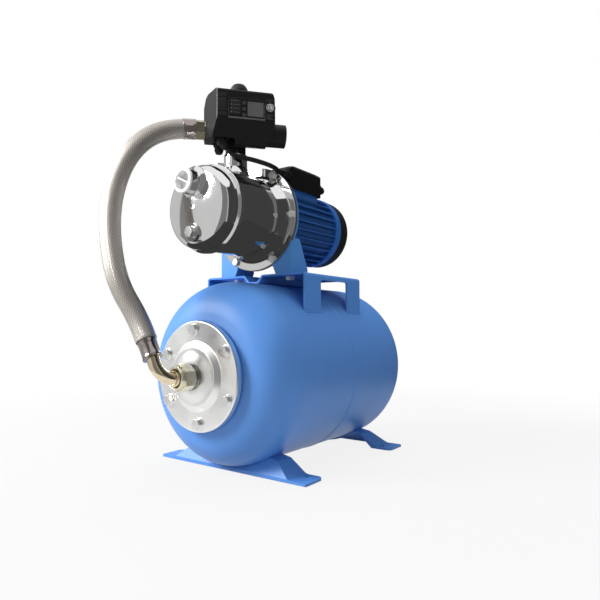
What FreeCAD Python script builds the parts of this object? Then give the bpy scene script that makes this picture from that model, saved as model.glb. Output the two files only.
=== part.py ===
import FreeCAD, Part
import math
import os
import Sketcher
from FreeCAD import Placement, Rotation, Vector

# A jet pump on a horizontal membrane tank, in millimetres. +Z is up, the round end with the counter
# flange faces -Y, and the origin is on the floor at the middle of the four foot holes.

SIZES = {
    # pressure tank
    "tank_radius": 135,
    "tank_rise": 6,
    "tank_half_length": 134,
    "tank_wall": 1.5,
    "front_head_depth": 66,
    "front_head_knuckle": 58,
    "rear_head_depth": 77,
    "rear_head_knuckle": 62,
    "seam_bead_width": 5,
    "seam_bead_height": 0.7,
    "neck_bore": 46,
    "neck_ring_radius": 73.4,
    "neck_ring_ahead": 3,
    "neck_flat_width": 3.9,
    "lip_radius": 58,
    "lip_thickness": 2,
    "bag_wall": 2,
    "bag_radius": 112,
    "bag_shoulder_back": 63,
    "bag_neck_length": 31,
    "bag_end": 130,
    "bag_end_round": 60,
    "soft_gap": 0.3,
    # counter flange with its six bolts
    "flange_sheet": 3,
    "flange_radius": 76.8,
    "flange_skirt": 9,
    "flange_step_radius": 48.5,
    "flange_centre_radius": 40.5,
    "flange_step_height": 6,
    "flange_dome_rise": 1.5,
    "flange_bolt_circle": 65,
    "flange_bolt_hole": 4.5,
    "flange_bolt_start": 93.84,
    "flange_bolt_shank": 3.9,
    "flange_bolt_head": 5.3,
    "flange_bolt_across": 13,
    "flange_bolt_grip": 7,
    "thread_gap": 0.1,
    "port_bore": 15.15,
    "port_boss_radius": 17.5,
    "port_boss_reach": 16,
    # connector, elbow and hose fittings
    "nut_across": 33,
    "nut_length": 16,
    "collar_radius": 15,
    "collar_length": 5,
    "spigot_length": 11,
    "water_bore": 6.5,
    "pipe_radius": 8.5,
    "elbow_reach": 26,
    "elbow_rise": 31,
    "elbow_bend": 24,
    "pipe_insert": 10,
    "hose_lean": 26,
    "ferrule_length": 26,
    "ferrule_radius": 12.5,
    "ferrule_lip": 13.2,
    "hose_radius": 14.2,
    "hose_first_run": 30,
    "hose_last_run": 26,
    # feet of the tank
    "foot_sheet": 3.5,
    "foot_half_width": 142,
    "foot_front": 144.4,
    "foot_back": 101.9,
    "foot_lip": 5,
    "foot_skirt_height": 26,
    "foot_skirt_back": 13.4,
    "foot_pad_start": 113,
    "foot_ramp_x": 86,
    "foot_ramp_height": 22.5,
    "foot_saddle_x": 70,
    "foot_corner": 9,
    "foot_hole": 4.5,
    "foot_hole_x": 120,
    "foot_hole_y": 112,
    "weld_gap": 0.15,
    # bracket on top of the tank
    "bracket_sheet": 3,
    "deck_rise": 13.6,
    "deck_half_width": 100,
    "deck_front": 86.5,
    "deck_back": 74,
    "deck_round": 5,
    "window_front": 44.5,
    "window_back": 32.5,
    "window_height": 9.1,
    "window_round": 3,
    "trough_top": 19,
    "trough_floor": 8,
    "trough_length": 32,
    "trough_end": 12,
    "foot_bolt_x": 54,
    "foot_bolt_y": 61,
    "foot_bolt_shank": 3.9,
    "foot_bolt_depth": 11,
    # motor bracket, a casting with two legs
    "pump_height": 88,
    "disc_face": 82.5,
    "disc_radius": 79.5,
    "disc_thickness": 10,
    "seal_recess_radius": 68.3,
    "seal_recess_depth": 3,
    "hub_front_radius": 66,
    "hub_back_radius": 62,
    "hub_bore": 45,
    "bearing_boss_radius": 23,
    "shaft_hole": 9,
    "leg_outer": 72,
    "leg_inner": 42,
    "leg_inner_top": 35,
    "leg_bevel": 15.4,
    "leg_depth": 42.5,
    "leg_top_depth": 20.5,
    "leg_height": 54,
    "leg_wall": 5,
    "leg_foot_height": 12,
    # pump casing
    "casing_sheet": 2,
    "casing_radius": 60,
    "casing_rim": 197,
    "casing_cap_depth": 19,
    "casing_knuckle": 14,
    "bead_radius": 64.3,
    "bead_front": 185,
    "bead_back": 181,
    "barrel_radius": 61,
    "flare_front": 101,
    "flare_radius": 69.5,
    "casing_flange_radius": 81.4,
    "casing_lip": 3.5,
    "casing_lip_gap": 0.2,
    "casing_bolt_circle": 75,
    "casing_bolt_shank": 2.9,
    "casing_bolt_across": 10,
    "casing_bolt_head": 4,
    "casing_bolt_grip": 9,
    # ports of the pump
    "stub_radius": 17.5,
    "stub_foot_radius": 24,
    "stub_bore": 13,
    "stub_thread_depth": 16,
    "suction_height": 31.3,
    "suction_face": 231.5,
    "suction_foot": 213,
    "cap_rim": 3,
    "cap_plug_length": 10,
    "cap_recess": 13,
    "cap_floor": 2,
    "cap_rib": 1.6,
    "seat_gap": 0.1,
    "discharge_back": 127.8,
    "discharge_rise": 30.4,
    "discharge_foot": 21,
    "discharge_foot_rise": 11,
    "drain_drop": 38,
    "drain_hole": 5,
    "drain_across": 14,
    "drain_head": 5,
    "drain_shank_length": 10,
    "plug_boss_radius": 12.5,
    "plug_washer": 8.7,
    "plug_washer_thickness": 1.5,
    "drain_boss_face": 216.2,
    "priming_back": 163,
    "priming_hole": 7,
    "priming_boss_rise": 3.2,
    "priming_across": 17,
    "priming_head": 4,
    "priming_shank_length": 9,
    # hydraulic parts inside the casing
    "shaft_radius": 7,
    "shaft_front": 104,
    "shaft_back": 102,
    "impeller_gap": 3.5,
    "impeller_front": 104,
    "impeller_back": 93,
    "impeller_plate": 2,
    "impeller_hub": 12,
    "vane_thickness": 2.2,
    "vane_count": 6,
    "seal_radius": 12,
    "seal_face": 84.3,
    "seat_radius": 13,
    "seat_back": 78,
    "seat_bore": 8.5,
    "fit_gap": 0.05,
    "seal_plate_radius": 65.3,
    "oring_minor": 1.3,
    "cup_gap": 3,
    "cup_wall": 2.5,
    "cup_front": 108,
    "venturi_front": 182,
    "venturi_radius": 14,
    "venturi_throat": 5.5,
    "venturi_mouth": 9.5,
    "throat_start": 46,
    "throat_end": 30,
    "nozzle_front": 206,
    "nozzle_tip": 184,
    "nozzle_collar": 17,
    "nozzle_bore": 3.5,
    "nozzle_window": 5,
    "nozzle_window_front": 16,
    "nozzle_window_back": 7,
    # motor
    "motor_front": 50,
    "motor_back": 64,
    "housing_bore": 52,
    "housing_radius": 55,
    "fin_radius": 61,
    "fin_thickness": 3,
    "fin_count": 28,
    "pad_half_width": 45,
    "pad_front": 46,
    "pad_back": 27,
    "pad_height": 56.9,
    "foot_pad_half_width": 20,
    "foot_pad_length": 56,
    "spigot_depth": 4,
    "stator_bore": 32,
    "stator_front": 20,
    "stator_back": 38,
    "winding_inner": 34,
    "winding_outer": 50,
    "winding_length": 18,
    "air_gap": 0.4,
    "rotor_front": 22,
    "rotor_back": 40,
    "shaft_middle_radius": 8.5,
    "bearing_bore": 7.5,
    "bearing_radius": 17.5,
    "bearing_width": 11,
    "front_bearing": 62,
    "rear_bearing": 66,
    "shield_radius": 61.5,
    "shield_thickness": 15,
    "shield_web": 7,
    "fan_cover_radius": 60.3,
    "fan_cover_wall": 1.5,
    "fan_cover_length": 35.6,
    "fan_cover_round": 18,
    "grille_inner": 16,
    "grille_outer": 44,
    "grille_slot": 3.4,
    "grille_count": 20,
    "fan_radius": 47,
    "fan_front": 84,
    "fan_back": 101,
    "fan_hub": 12,
    "fan_blade": 2,
    "fan_blades": 8,
    "motor_foot_base": 14,
    "motor_foot_neck": 5.5,
    "motor_foot_back": 6,
    "motor_foot_rim": 4.4,
    # terminal box
    "box_half_width": 52,
    "box_front": 52,
    "box_back": 32,
    "box_skirt": 7,
    "box_floor": 2.5,
    "box_wall": 2.5,
    "box_seam": 22.5,
    "box_height": 31.5,
    "box_bevel": 6,
    "box_bevel_height": 6,
    "box_round": 7,
    "lid_wall": 2.2,
    "post_inset": 7.5,
    "post_radius": 4.5,
    "screw_shank": 1.9,
    "screw_head": 3.4,
    "screw_head_height": 2.4,
    "capacitor_radius": 11,
    "capacitor_length": 54,
    "capacitor_front": 22,
    "block_width": 44,
    "block_depth": 16,
    "block_height": 13,
    # cable glands and the cable
    "gland_thread": 5.8,
    "gland_across": 15,
    "gland_hex": 5,
    "gland_length": 15,
    "gland_dome": 6.8,
    "gland_mouth": 4.8,
    "gland_bore": 3.6,
    "gland_x": 42,
    "front_gland_height": 15.5,
    "rear_gland_height": 8.6,
    "cable_radius": 3.5,
    "controller_gland_lean": 35,
    # controller, in its own frame turned about the discharge axis
    "controller_turn": 50,
    "pipe_rise": 35.7,
    "tee_left": 47,
    "tee_right": 76,
    "tee_radius": 17.6,
    "tee_bore": 12.5,
    "tee_thread_depth": 16,
    "inlet_radius": 15.2,
    "inlet_drop": 34,
    "inlet_bore": 12.35,
    "inlet_thread": 12,
    "valve_seat": 8,
    "valve_seat_height": 4,
    "nipple_gap": 0.05,
    "nipple_depth": 14,
    "nipple_wall": 2.8,
    "poppet_radius": 10.5,
    "poppet_thickness": 3,
    "poppet_guide": 7.6,
    "poppet_guide_length": 5,
    "fitting_across": 26,
    "fitting_length": 13,
    "fitting_bore": 9,
    "cover_wall": 2.5,
    "case_front": 50,
    "case_top": 47,
    "case_back": 36,
    "case_split": 20,
    "case_left": 47,
    "case_right": 57,
    "case_belly": 31.5,
    "panel_left": 33,
    "panel_right": 50.5,
    "window_left": 10.6,
    "window_right": 34,
    "window_low": 8.3,
    "window_top": 29.8,
    "window_thickness": 2.2,
    "part_gap": 0.15,
    "key_s": 5.5,
    "key_width": 6.3,
    "key_height": 6.6,
    "key_low": 9,
    "key_pitch": 8.85,
    "key_proud": 1,
    "key_flange": 1,
    "key_gap": 0.3,
    "button_s": 44,
    "button_up": 23.3,
    "button_radius": 4,
    "board_left": 26,
    "board_right": 44,
    "board_low": 3,
    "board_top": 41,
    "board_out": 41,
    "board_thickness": 1.6,
    "cap_s": 1,
    "cap_out": 28,
    "cap_radius": 14,
    "cap_wall": 2,
    "cap_collar": 48.5,
    "notch_left": 36.5,
    "notch_right": 5,
    "gland_reach": 25,
    "notch_top": 17,
    # air valve on the rear end
    "valve_hole": 5,
    "valve_flange": 9,
    "valve_stem": 4,
    "valve_length": 22,
    "valve_cap_radius": 6.5,
    "valve_cap_length": 16,
    "valve_cap_wall": 2,
}

# Hand-set points of the two flexible lines, between the ends that the fittings give.
HOSE_ROUTE = [
    (-60, -288, 267), (-76, -289.5, 320), (-87, -285, 372), (-89, -272, 423), (-84, -252, 463),
    (-74, -225.5, 490.5)]
CABLE_ROUTE = [
    (21.5, -139.5, 455.5), (31.5, -129, 453), (42, -117, 452), (48, -102, 453.5), (46.5, -87, 453.5)]


class Size:
    """A length with its value and the spreadsheet expression that it comes from."""

    def __init__(self, value, text):
        self.value = float(value)
        self.text = text

    def __add__(self, other):
        other = size(other)
        return Size(self.value + other.value, "(%s + %s)" % (self.text, other.text))

    def __sub__(self, other):
        other = size(other)
        return Size(self.value - other.value, "(%s - %s)" % (self.text, other.text))

    def __mul__(self, other):
        other = size(other)
        return Size(self.value * other.value, "(%s * %s)" % (self.text, other.text))

    def __truediv__(self, other):
        other = size(other)
        return Size(self.value / other.value, "(%s / %s)" % (self.text, other.text))

    def __radd__(self, other):
        return size(other) + self

    def __rsub__(self, other):
        return size(other) - self

    def __rmul__(self, other):
        return size(other) * self

    def __rtruediv__(self, other):
        return size(other) / self

    def __neg__(self):
        return Size(-self.value, "(0 - %s)" % self.text)


def size(number):
    return number if isinstance(number, Size) else Size(number, repr(float(number)))


def root(number):
    return Size(math.sqrt(number.value), "sqrt(%s)" % number.text)


class Dimensions:
    """The sheet's sizes by name."""

    def __getattr__(self, name):
        return Size(SIZES[name], "Sizes." + name)


doc = FreeCAD.newDocument("jet_pump")
sheet = doc.addObject("Spreadsheet::Sheet", "Sizes")
for row, (name, number) in enumerate(SIZES.items(), 1):
    sheet.set("A%d" % row, name)
    sheet.set("B%d" % row, str(number))
    sheet.setAlias("B%d" % row, name)
doc.recompute()
mm = Dimensions()
nodes = []

# Places that several pieces share.
TANK_Z = mm.tank_radius + mm.tank_rise
NECK_FACE = 0 - mm.tank_half_length - mm.front_head_depth - mm.neck_ring_ahead
FLANGE_FRONT = NECK_FACE - mm.flange_sheet
PORT_FRONT = FLANGE_FRONT - mm.port_boss_reach
CONNECTOR_FRONT = PORT_FRONT - mm.nut_length - mm.collar_length
ELBOW_FRONT = CONNECTOR_FRONT - mm.elbow_reach
DECK_TOP = TANK_Z + mm.tank_radius + mm.deck_rise
PUMP_Z = DECK_TOP + mm.pump_height
DISC_FACE = 0 - mm.disc_face
DISC_BACK = DISC_FACE + mm.disc_thickness
PLATE_BACK = DISC_FACE + mm.seal_recess_depth
CASING_FACE = DISC_FACE - mm.casing_sheet
MOTOR_FRONT = 0 - mm.motor_front
SHIELD_BACK = mm.motor_back + mm.shield_thickness
COVER_END = SHIELD_BACK + mm.fan_cover_length
BOX_TOP_FLAT = PUMP_Z + mm.pad_height
STUB_TOP = mm.barrel_radius + mm.discharge_rise
PIPE_Z = PUMP_Z + STUB_TOP + mm.pipe_rise
PIPE_Y = 0 - mm.discharge_back
PRIMING_TOP = mm.barrel_radius + mm.priming_boss_rise
CUP_RADIUS = mm.barrel_radius - mm.casing_sheet - mm.cup_gap
IMPELLER_RADIUS = CUP_RADIUS - mm.cup_wall - mm.impeller_gap
ALONG_Y = Rotation(Vector(1, 0, 0), -90)
AGAINST_Y = Rotation(Vector(1, 0, 0), 90)
CONTROLLER = Rotation(Vector(0, 0, 1), SIZES["controller_turn"])


def bind(owner, prop, length):
    owner.setExpression(prop, size(length).text)


def new_body(label):
    body = doc.addObject("PartDesign::Body", label)
    body.Label = label
    return body


def place(owner, x=0, y=0, z=0, rotation=Rotation()):
    """Puts a body at a place that follows the sheet."""
    spot = [size(x), size(y), size(z)]
    owner.Placement = Placement(Vector(*[s.value for s in spot]), rotation)
    for letter, length in zip("xyz", spot):
        bind(owner, "Placement.Base." + letter, length)
    return owner


def laid_body(label, x=0, z=0, y=0):
    """A body whose own Z runs backwards along Y, for pieces turned about a level axis."""
    return place(new_body(label), x, y, z, ALONG_Y)


def keep(node, label=None):
    if label:
        node.Label = label
    nodes.append(node)
    return node


def origin_plane(body, role):
    for feature in body.Origin.OriginFeatures:
        if feature.Role == role:
            return feature


def pin_point(sketch, geometry, point, x, y):
    """Fixes a point of the sketch at the sizes x and y."""
    for kind, axis, length in (("DistanceX", -2, x), ("DistanceY", -1, y)):
        if length is None:
            continue
        if not isinstance(length, Size) and length == 0:
            sketch.addConstraint(Sketcher.Constraint("PointOnObject", geometry, point, axis))
            continue
        length = size(length)
        number = sketch.addConstraint(
            Sketcher.Constraint(kind, -1, 1, geometry, point, length.value))
        sketch.setExpression("Constraints[%d]" % number, length.text)


def add_arc(sketch, start, end, centre):
    """Adds the shorter arc between two points and says which of its ends is which."""
    turning = (start - centre).cross(end - centre).z
    first, last = (start, end) if turning > 0 else (end, start)
    low = math.atan2(first.y - centre.y, first.x - centre.x)
    high = math.atan2(last.y - centre.y, last.x - centre.x)
    if high < low:
        high += 2 * math.pi
    circle = Part.Circle(centre, Vector(0, 0, 1), (start - centre).Length)
    number = sketch.addGeometry(Part.ArcOfCircle(circle, low, high), False)
    return (number, 1, 2) if turning > 0 else (number, 2, 1)


def outline(sketch, corners, closed=True):
    """Draws an outline. A corner is (x, y), (x, y, round radius) for a rounded one, or
    (x, y, (centre x, centre y), free) for one that an arc reaches, whose free coordinate the arc
    sets."""
    count = len(corners)
    spots = [Vector(size(c[0]).value, size(c[1]).value, 0) for c in corners]
    starts, ends, rounds = list(spots), list(spots), {}
    for i, corner in enumerate(corners):
        if len(corner) == 3:
            before = (spots[i - 1] - spots[i]).normalize()
            after = (spots[(i + 1) % count] - spots[i]).normalize()
            half = before.getAngle(after) / 2
            reach = size(corner[2]).value / math.tan(half)
            middle = (before + after).normalize() * (size(corner[2]).value / math.sin(half))
            ends[i] = spots[i] + before * reach
            starts[i] = spots[i] + after * reach
            rounds[i] = (spots[i] + middle, size(corner[2]).value)
    pieces = []
    for i in range(count if closed else count - 1):
        j = (i + 1) % count
        if len(corners[j]) == 4:
            centre = Vector(size(corners[j][2][0]).value, size(corners[j][2][1]).value, 0)
            pieces.append(add_arc(sketch, starts[i], ends[j], centre))
            pin_point(sketch, pieces[-1][0], 3, corners[j][2][0], corners[j][2][1])
        else:
            number = sketch.addGeometry(Part.LineSegment(starts[i], ends[j]), False)
            pieces.append((number, 1, 2))
    if not closed:
        pin_point(sketch, pieces[0][0], pieces[0][1], corners[0][0], corners[0][1])
        pin_point(sketch, pieces[-1][0], pieces[-1][2], corners[-1][0], corners[-1][1])
    for i, corner in enumerate(corners):
        if not closed and i in (0, count - 1):
            continue
        before, after = pieces[i - 1], pieces[i]
        if i in rounds:
            arc = add_arc(sketch, ends[i], starts[i], rounds[i][0])
            mark = sketch.addGeometry(Part.Point(spots[i]), True)
            sketch.addConstraint(Sketcher.Constraint("Tangent", before[0], before[2], arc[0], arc[1]))
            sketch.addConstraint(Sketcher.Constraint("Tangent", after[0], after[1], arc[0], arc[2]))
            number = sketch.addConstraint(Sketcher.Constraint("Radius", arc[0], rounds[i][1]))
            sketch.setExpression("Constraints[%d]" % number, size(corner[2]).text)
            pin_point(sketch, mark, 1, corner[0], corner[1])
            sketch.addConstraint(Sketcher.Constraint("PointOnObject", mark, 1, before[0]))
            sketch.addConstraint(Sketcher.Constraint("PointOnObject", mark, 1, after[0]))
            continue
        sketch.addConstraint(
            Sketcher.Constraint("Coincident", before[0], before[2], after[0], after[1]))
        x, y = corner[0], corner[1]
        if len(corner) == 4:
            x, y = (None, y) if corner[3] == "x" else (x, None)
        pin_point(sketch, after[0], after[1], x, y)


def circle(x, y, radius):
    return ("circle", x, y, size(radius))


def draw(sketch, shape):
    if shape[0] != "circle":
        outline(sketch, shape)
        return
    x, y, radius = shape[1:]
    centre = Vector(size(x).value, size(y).value, 0)
    number = sketch.addGeometry(Part.Circle(centre, Vector(0, 0, 1), radius.value), False)
    pin_point(sketch, number, 3, x, y)
    constraint = sketch.addConstraint(Sketcher.Constraint("Radius", number, radius.value))
    sketch.setExpression("Constraints[%d]" % constraint, radius.text)


def sketch_at(body, role, height, shapes):
    """A sketch on one of the body's origin planes, moved along the plane's normal."""
    sketch = body.newObject("Sketcher::SketchObject", "Outline")
    sketch.AttachmentSupport = (origin_plane(body, role), [""])
    sketch.MapMode = "FlatFace"
    height = size(height)
    sketch.AttachmentOffset = Placement(Vector(0, 0, height.value), Rotation())
    bind(sketch, "AttachmentOffset.Base.z", height)
    for shape in shapes:
        draw(sketch, shape)
    return sketch


def extrude(kind, body, role, shapes, low, high):
    """Adds or takes away the shapes between two heights. The XZ plane looks along -Y, so it starts
    at its high side."""
    start = 0 - size(high) if role == "XZ_Plane" else size(low)
    feature = body.newObject("PartDesign::" + kind, kind)
    feature.Profile = sketch_at(body, role, start, shapes)
    bind(feature, "Length", size(high) - size(low))
    feature.Length = size(high).value - size(low).value
    if kind == "Pocket":
        feature.Reversed = True
    return feature


def pad(body, role, shapes, low, high):
    return extrude("Pad", body, role, shapes, low, high)


def pocket(body, role, shapes, low, high):
    return extrude("Pocket", body, role, shapes, low, high)


def turn(body, corners, kind="Revolution"):
    """Turns an outline of (radius, height) about the body's own Z."""
    sketch = sketch_at(body, "XZ_Plane", 0, [corners])
    feature = body.newObject("PartDesign::" + kind, kind)
    feature.Profile = sketch
    feature.ReferenceAxis = (sketch, ["V_Axis"])
    feature.Angle = 360
    return feature


def repeat_round(body, feature, count):
    """Repeats a feature evenly about the body's own Z."""
    doc.recompute()
    pattern = body.newObject("PartDesign::PolarPattern", "PolarPattern")
    pattern.Originals = [feature]
    pattern.Axis = (origin_plane(body, "Z_Axis"), [""])
    pattern.Angle = 360
    pattern.Occurrences = int(count.value)
    body.Tip = pattern
    return pattern


def box(low_x, high_x, low_y, high_y, rounding=None):
    """The four corners of an upright rectangle, with one radius at all of them if one is given."""
    tail = () if rounding is None else (rounding,)
    return [(low_x, low_y) + tail, (high_x, low_y) + tail,
            (high_x, high_y) + tail, (low_x, high_y) + tail]


def hexagon(across, start=0):
    """A hexagon by its width across flats, with a corner at the start angle."""
    reach = across / math.sqrt(3)
    angles = [math.radians(start + 60 * k) for k in range(6)]
    return [(reach * math.cos(a), reach * math.sin(a)) for a in angles]


def ring_spots(radius, count, start=0):
    """Places round a level axis, by the angle from +X as seen from the front."""
    angles = [math.radians(start + 360 * k / count) for k in range(count)]
    return [(radius * math.cos(a), radius * math.sin(a)) for a in angles]


def combine(kind, label, base, tool):
    feature = doc.addObject("Part::" + kind, label)
    feature.Base = base
    feature.Tool = tool
    feature.Refine = True
    return feature


def fuse(label, shapes):
    feature = doc.addObject("Part::MultiFuse", label)
    feature.Shapes = shapes
    feature.Refine = True
    return feature


def crossed(label, at, spans, front=None, side=None, plan=None):
    """The form that fills its front outline (X, Z), its side outline (Y, Z) and its plan (X, Y)."""
    result = None
    views = (("front", "XZ_Plane", front, spans[1]), ("side", "YZ_Plane", side, spans[0]),
             ("plan", "XY_Plane", plan, spans[2]))
    for view, role, shape, (low, high) in views:
        if shape is None:
            continue
        body = at(new_body(label + "_" + view))
        pad(body, role, [shape], low, high)
        result = body if result is None else combine("Common", label + "_form", result, body)
    return result


def group(label, original, placements):
    """One node of equal pieces, with the original's shape at each placement."""
    doc.recompute()
    node = doc.addObject("Part::Feature", label)
    copies = []
    for placement in placements:
        copy = original.Shape.copy()
        copy.Placement = placement
        copies.append(copy)
    node.Shape = Part.makeCompound(copies)
    return keep(node)


def dished(side, radius, rim, depth, knuckle, wall, first, inward=False):
    """Corners of a dished end between the radius named first and the straight wall."""
    flat = radius - knuckle
    crown = (flat * flat + depth * depth - knuckle * knuckle) / (2 * (depth - knuckle))
    middle = rim + side * (depth - crown)
    meet = (crown - wall) * flat / (crown - knuckle)
    guess = rim + side * (knuckle - wall) * 0.9
    crown = crown - wall
    if isinstance(first, Size):
        apex = middle + side * root(crown * crown - first * first)
    else:
        apex = middle + side * crown
    if inward:
        return [(radius - wall, rim), (meet, guess, (flat, rim), "y"), (first, apex, (0, middle), "y")]
    return [(first, apex), (meet, guess, (0, middle), "y"), (radius - wall, rim, (flat, rim), "x")]


def bolt(label, across, head, shank, length):
    """A hexagon bolt standing on the XY plane of its own frame, with its head below."""
    body = new_body(label)
    pad(body, "XY_Plane", [hexagon(across)], 0 - head, 0)
    pad(body, "XY_Plane", [circle(0, 0, shank)], 0, length)
    return body


# Pressure tank


def tank_front_shell():
    half = mm.tank_half_length
    outside = dished(-1, mm.tank_radius, 0 - half, mm.front_head_depth, mm.front_head_knuckle,
                     0, mm.neck_ring_radius + mm.neck_flat_width)
    inside = dished(-1, mm.tank_radius, 0 - half, mm.front_head_depth, mm.front_head_knuckle,
                    mm.tank_wall, mm.neck_bore, inward=True)
    recess = NECK_FACE + mm.lip_thickness
    bead = mm.tank_radius + mm.seam_bead_height
    body = laid_body("tank_front_shell", 0, TANK_Z)
    turn(body, [
        (mm.neck_bore, recess),
        (mm.lip_radius + mm.soft_gap, recess),
        (mm.lip_radius + mm.soft_gap, NECK_FACE),
        (mm.neck_ring_radius, NECK_FACE),
        (mm.neck_ring_radius, outside[0][1])] + outside + [
        (mm.tank_radius, 0 - mm.seam_bead_width / 2),
        (bead, 0 - mm.seam_bead_width / 4),
        (bead, 0),
        (mm.tank_radius - mm.tank_wall, 0)] + inside)
    hole = mm.flange_bolt_shank + mm.thread_gap
    spots = ring_spots(mm.flange_bolt_circle, 6, SIZES["flange_bolt_start"])
    depth = mm.flange_bolt_grip + 1
    pocket(body, "XY_Plane", [circle(x, 0 - y, hole) for x, y in spots], NECK_FACE, NECK_FACE + depth)
    keep(body)


def tank_rear_shell():
    half = mm.tank_half_length
    outside = dished(1, mm.tank_radius, half, mm.rear_head_depth, mm.rear_head_knuckle,
                     0, mm.valve_hole)
    inside = dished(1, mm.tank_radius, half, mm.rear_head_depth, mm.rear_head_knuckle,
                    mm.tank_wall, mm.valve_hole, inward=True)
    bead = mm.tank_radius + mm.seam_bead_height
    body = laid_body("tank_rear_shell", 0, TANK_Z)
    turn(body, outside + [
        (mm.tank_radius, mm.seam_bead_width / 2),
        (bead, mm.seam_bead_width / 4),
        (bead, 0),
        (mm.tank_radius - mm.tank_wall, 0)] + inside)
    keep(body)


def tank_membrane():
    """A rubber bag whose lip is held between the neck ring and the counter flange."""
    neck = mm.neck_bore - mm.soft_gap
    wall = mm.bag_wall
    neck_end = NECK_FACE + mm.bag_neck_length
    shoulder = NECK_FACE + mm.bag_shoulder_back
    body = laid_body("tank_membrane", 0, TANK_Z)
    turn(body, [
        (neck - wall, NECK_FACE),
        (mm.lip_radius, NECK_FACE),
        (mm.lip_radius, NECK_FACE + mm.lip_thickness),
        (neck, NECK_FACE + mm.lip_thickness),
        (neck, neck_end, wall * 3),
        (mm.bag_radius, shoulder, wall * 20),
        (mm.bag_radius, mm.bag_end, mm.bag_end_round),
        (0, mm.bag_end),
        (0, mm.bag_end - wall),
        (mm.bag_radius - wall, mm.bag_end - wall, mm.bag_end_round - wall),
        (mm.bag_radius - wall, shoulder + wall / 2, wall * 19),
        (neck - wall, neck_end + wall / 2, wall * 4)])
    keep(body)


def counter_flange():
    sheet_depth = mm.flange_sheet
    raised = FLANGE_FRONT - mm.flange_step_height
    run = mm.flange_step_radius - mm.flange_centre_radius
    slope = root(run * run + mm.flange_step_height * mm.flange_step_height)
    shift = sheet_depth * (slope - run) / mm.flange_step_height
    body = laid_body("counter_flange", 0, TANK_Z)
    turn(body, [
        (mm.port_bore, PORT_FRONT),
        (mm.port_boss_radius, PORT_FRONT, 1),
        (mm.port_boss_radius, raised - mm.flange_dome_rise),
        (mm.flange_centre_radius, raised, sheet_depth),
        (mm.flange_step_radius, FLANGE_FRONT, sheet_depth),
        (mm.flange_radius, FLANGE_FRONT, sheet_depth * 0.6),
        (mm.flange_radius, FLANGE_FRONT + mm.flange_skirt),
        (mm.flange_radius - sheet_depth, FLANGE_FRONT + mm.flange_skirt),
        (mm.flange_radius - sheet_depth, NECK_FACE),
        (mm.flange_step_radius - shift, NECK_FACE, 1),
        (mm.flange_centre_radius - shift, raised + sheet_depth, 1),
        (mm.port_bore, raised + sheet_depth - mm.flange_dome_rise)])
    spots = ring_spots(mm.flange_bolt_circle, 6, SIZES["flange_bolt_start"])
    holes = [circle(x, 0 - y, mm.flange_bolt_hole) for x, y in spots]
    pocket(body, "XY_Plane", holes, FLANGE_FRONT - 1, NECK_FACE + 1)
    keep(body)


def flange_bolts():
    original = bolt("flange_bolt", mm.flange_bolt_across, mm.flange_bolt_head,
                    mm.flange_bolt_shank, mm.flange_sheet + mm.flange_bolt_grip)
    spots = ring_spots(mm.flange_bolt_circle, 6, SIZES["flange_bolt_start"])
    group("flange_bolts", original, [
        Placement(Vector(x.value, FLANGE_FRONT.value, (TANK_Z + y).value), ALONG_Y)
        for x, y in spots])


def tank_connector():
    body = laid_body("tank_connector", 0, TANK_Z)
    collar_back = PORT_FRONT - mm.nut_length
    pad(body, "XY_Plane", [hexagon(mm.nut_across, 30)], collar_back, PORT_FRONT)
    pad(body, "XY_Plane", [circle(0, 0, mm.collar_radius)], CONNECTOR_FRONT, collar_back)
    pad(body, "XY_Plane", [circle(0, 0, mm.port_bore - mm.seat_gap)],
        PORT_FRONT, PORT_FRONT + mm.spigot_length)
    pocket(body, "XY_Plane", [circle(0, 0, mm.water_bore)],
           CONNECTOR_FRONT - 1, PORT_FRONT + mm.spigot_length + 1)
    keep(body)


LEAN = Rotation(Vector(0, 1, 0), -SIZES["hose_lean"])
LEAN_SIN = math.sin(math.radians(SIZES["hose_lean"]))
LEAN_COS = math.cos(math.radians(SIZES["hose_lean"]))


def hose_elbow():
    """A bent pipe from the connector, first forward and then up along the hose's lean."""
    body = place(new_body("hose_elbow"), 0, 0, TANK_Z, LEAN)
    ring = sketch_at(body, "XZ_Plane", 0 - CONNECTOR_FRONT,
                     [circle(0, 0, mm.pipe_radius), circle(0, 0, mm.water_bore)])
    spine = sketch_at(body, "YZ_Plane", 0, [])
    outline(spine, [
        (CONNECTOR_FRONT, 0),
        (ELBOW_FRONT, 0, mm.elbow_bend),
        (ELBOW_FRONT, mm.elbow_rise + mm.pipe_insert)], closed=False)
    pipe = body.newObject("PartDesign::AdditivePipe", "Pipe")
    pipe.Profile = ring
    pipe.Spine = (spine, [""])
    keep(body)


def on_hose_line(distance):
    """A place on the straight line of the lower hose end, by its distance from the elbow's corner."""
    return (0 - distance * LEAN_SIN, ELBOW_FRONT, TANK_Z + distance * LEAN_COS)


def lower_ferrule():
    body = place(new_body("lower_ferrule"), *on_hose_line(mm.elbow_rise), rotation=LEAN)
    groove = mm.ferrule_radius - 0.8
    crimps = []
    for k in range(3):
        start = 6 + 6 * k
        crimps += [(mm.ferrule_radius, start), (groove, start + 1),
                   (groove, start + 2), (mm.ferrule_radius, start + 3)]
    bore = mm.pipe_radius + mm.thread_gap
    turn(body, [(bore, 0), (mm.ferrule_lip, 0), (mm.ferrule_lip, 2.5), (mm.ferrule_radius, 3.5)]
         + crimps + [(mm.ferrule_radius, mm.ferrule_length), (mm.water_bore, mm.ferrule_length),
                     (mm.water_bore, mm.pipe_insert + mm.seat_gap), (bore, mm.pipe_insert + mm.seat_gap)])
    keep(body)


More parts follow.
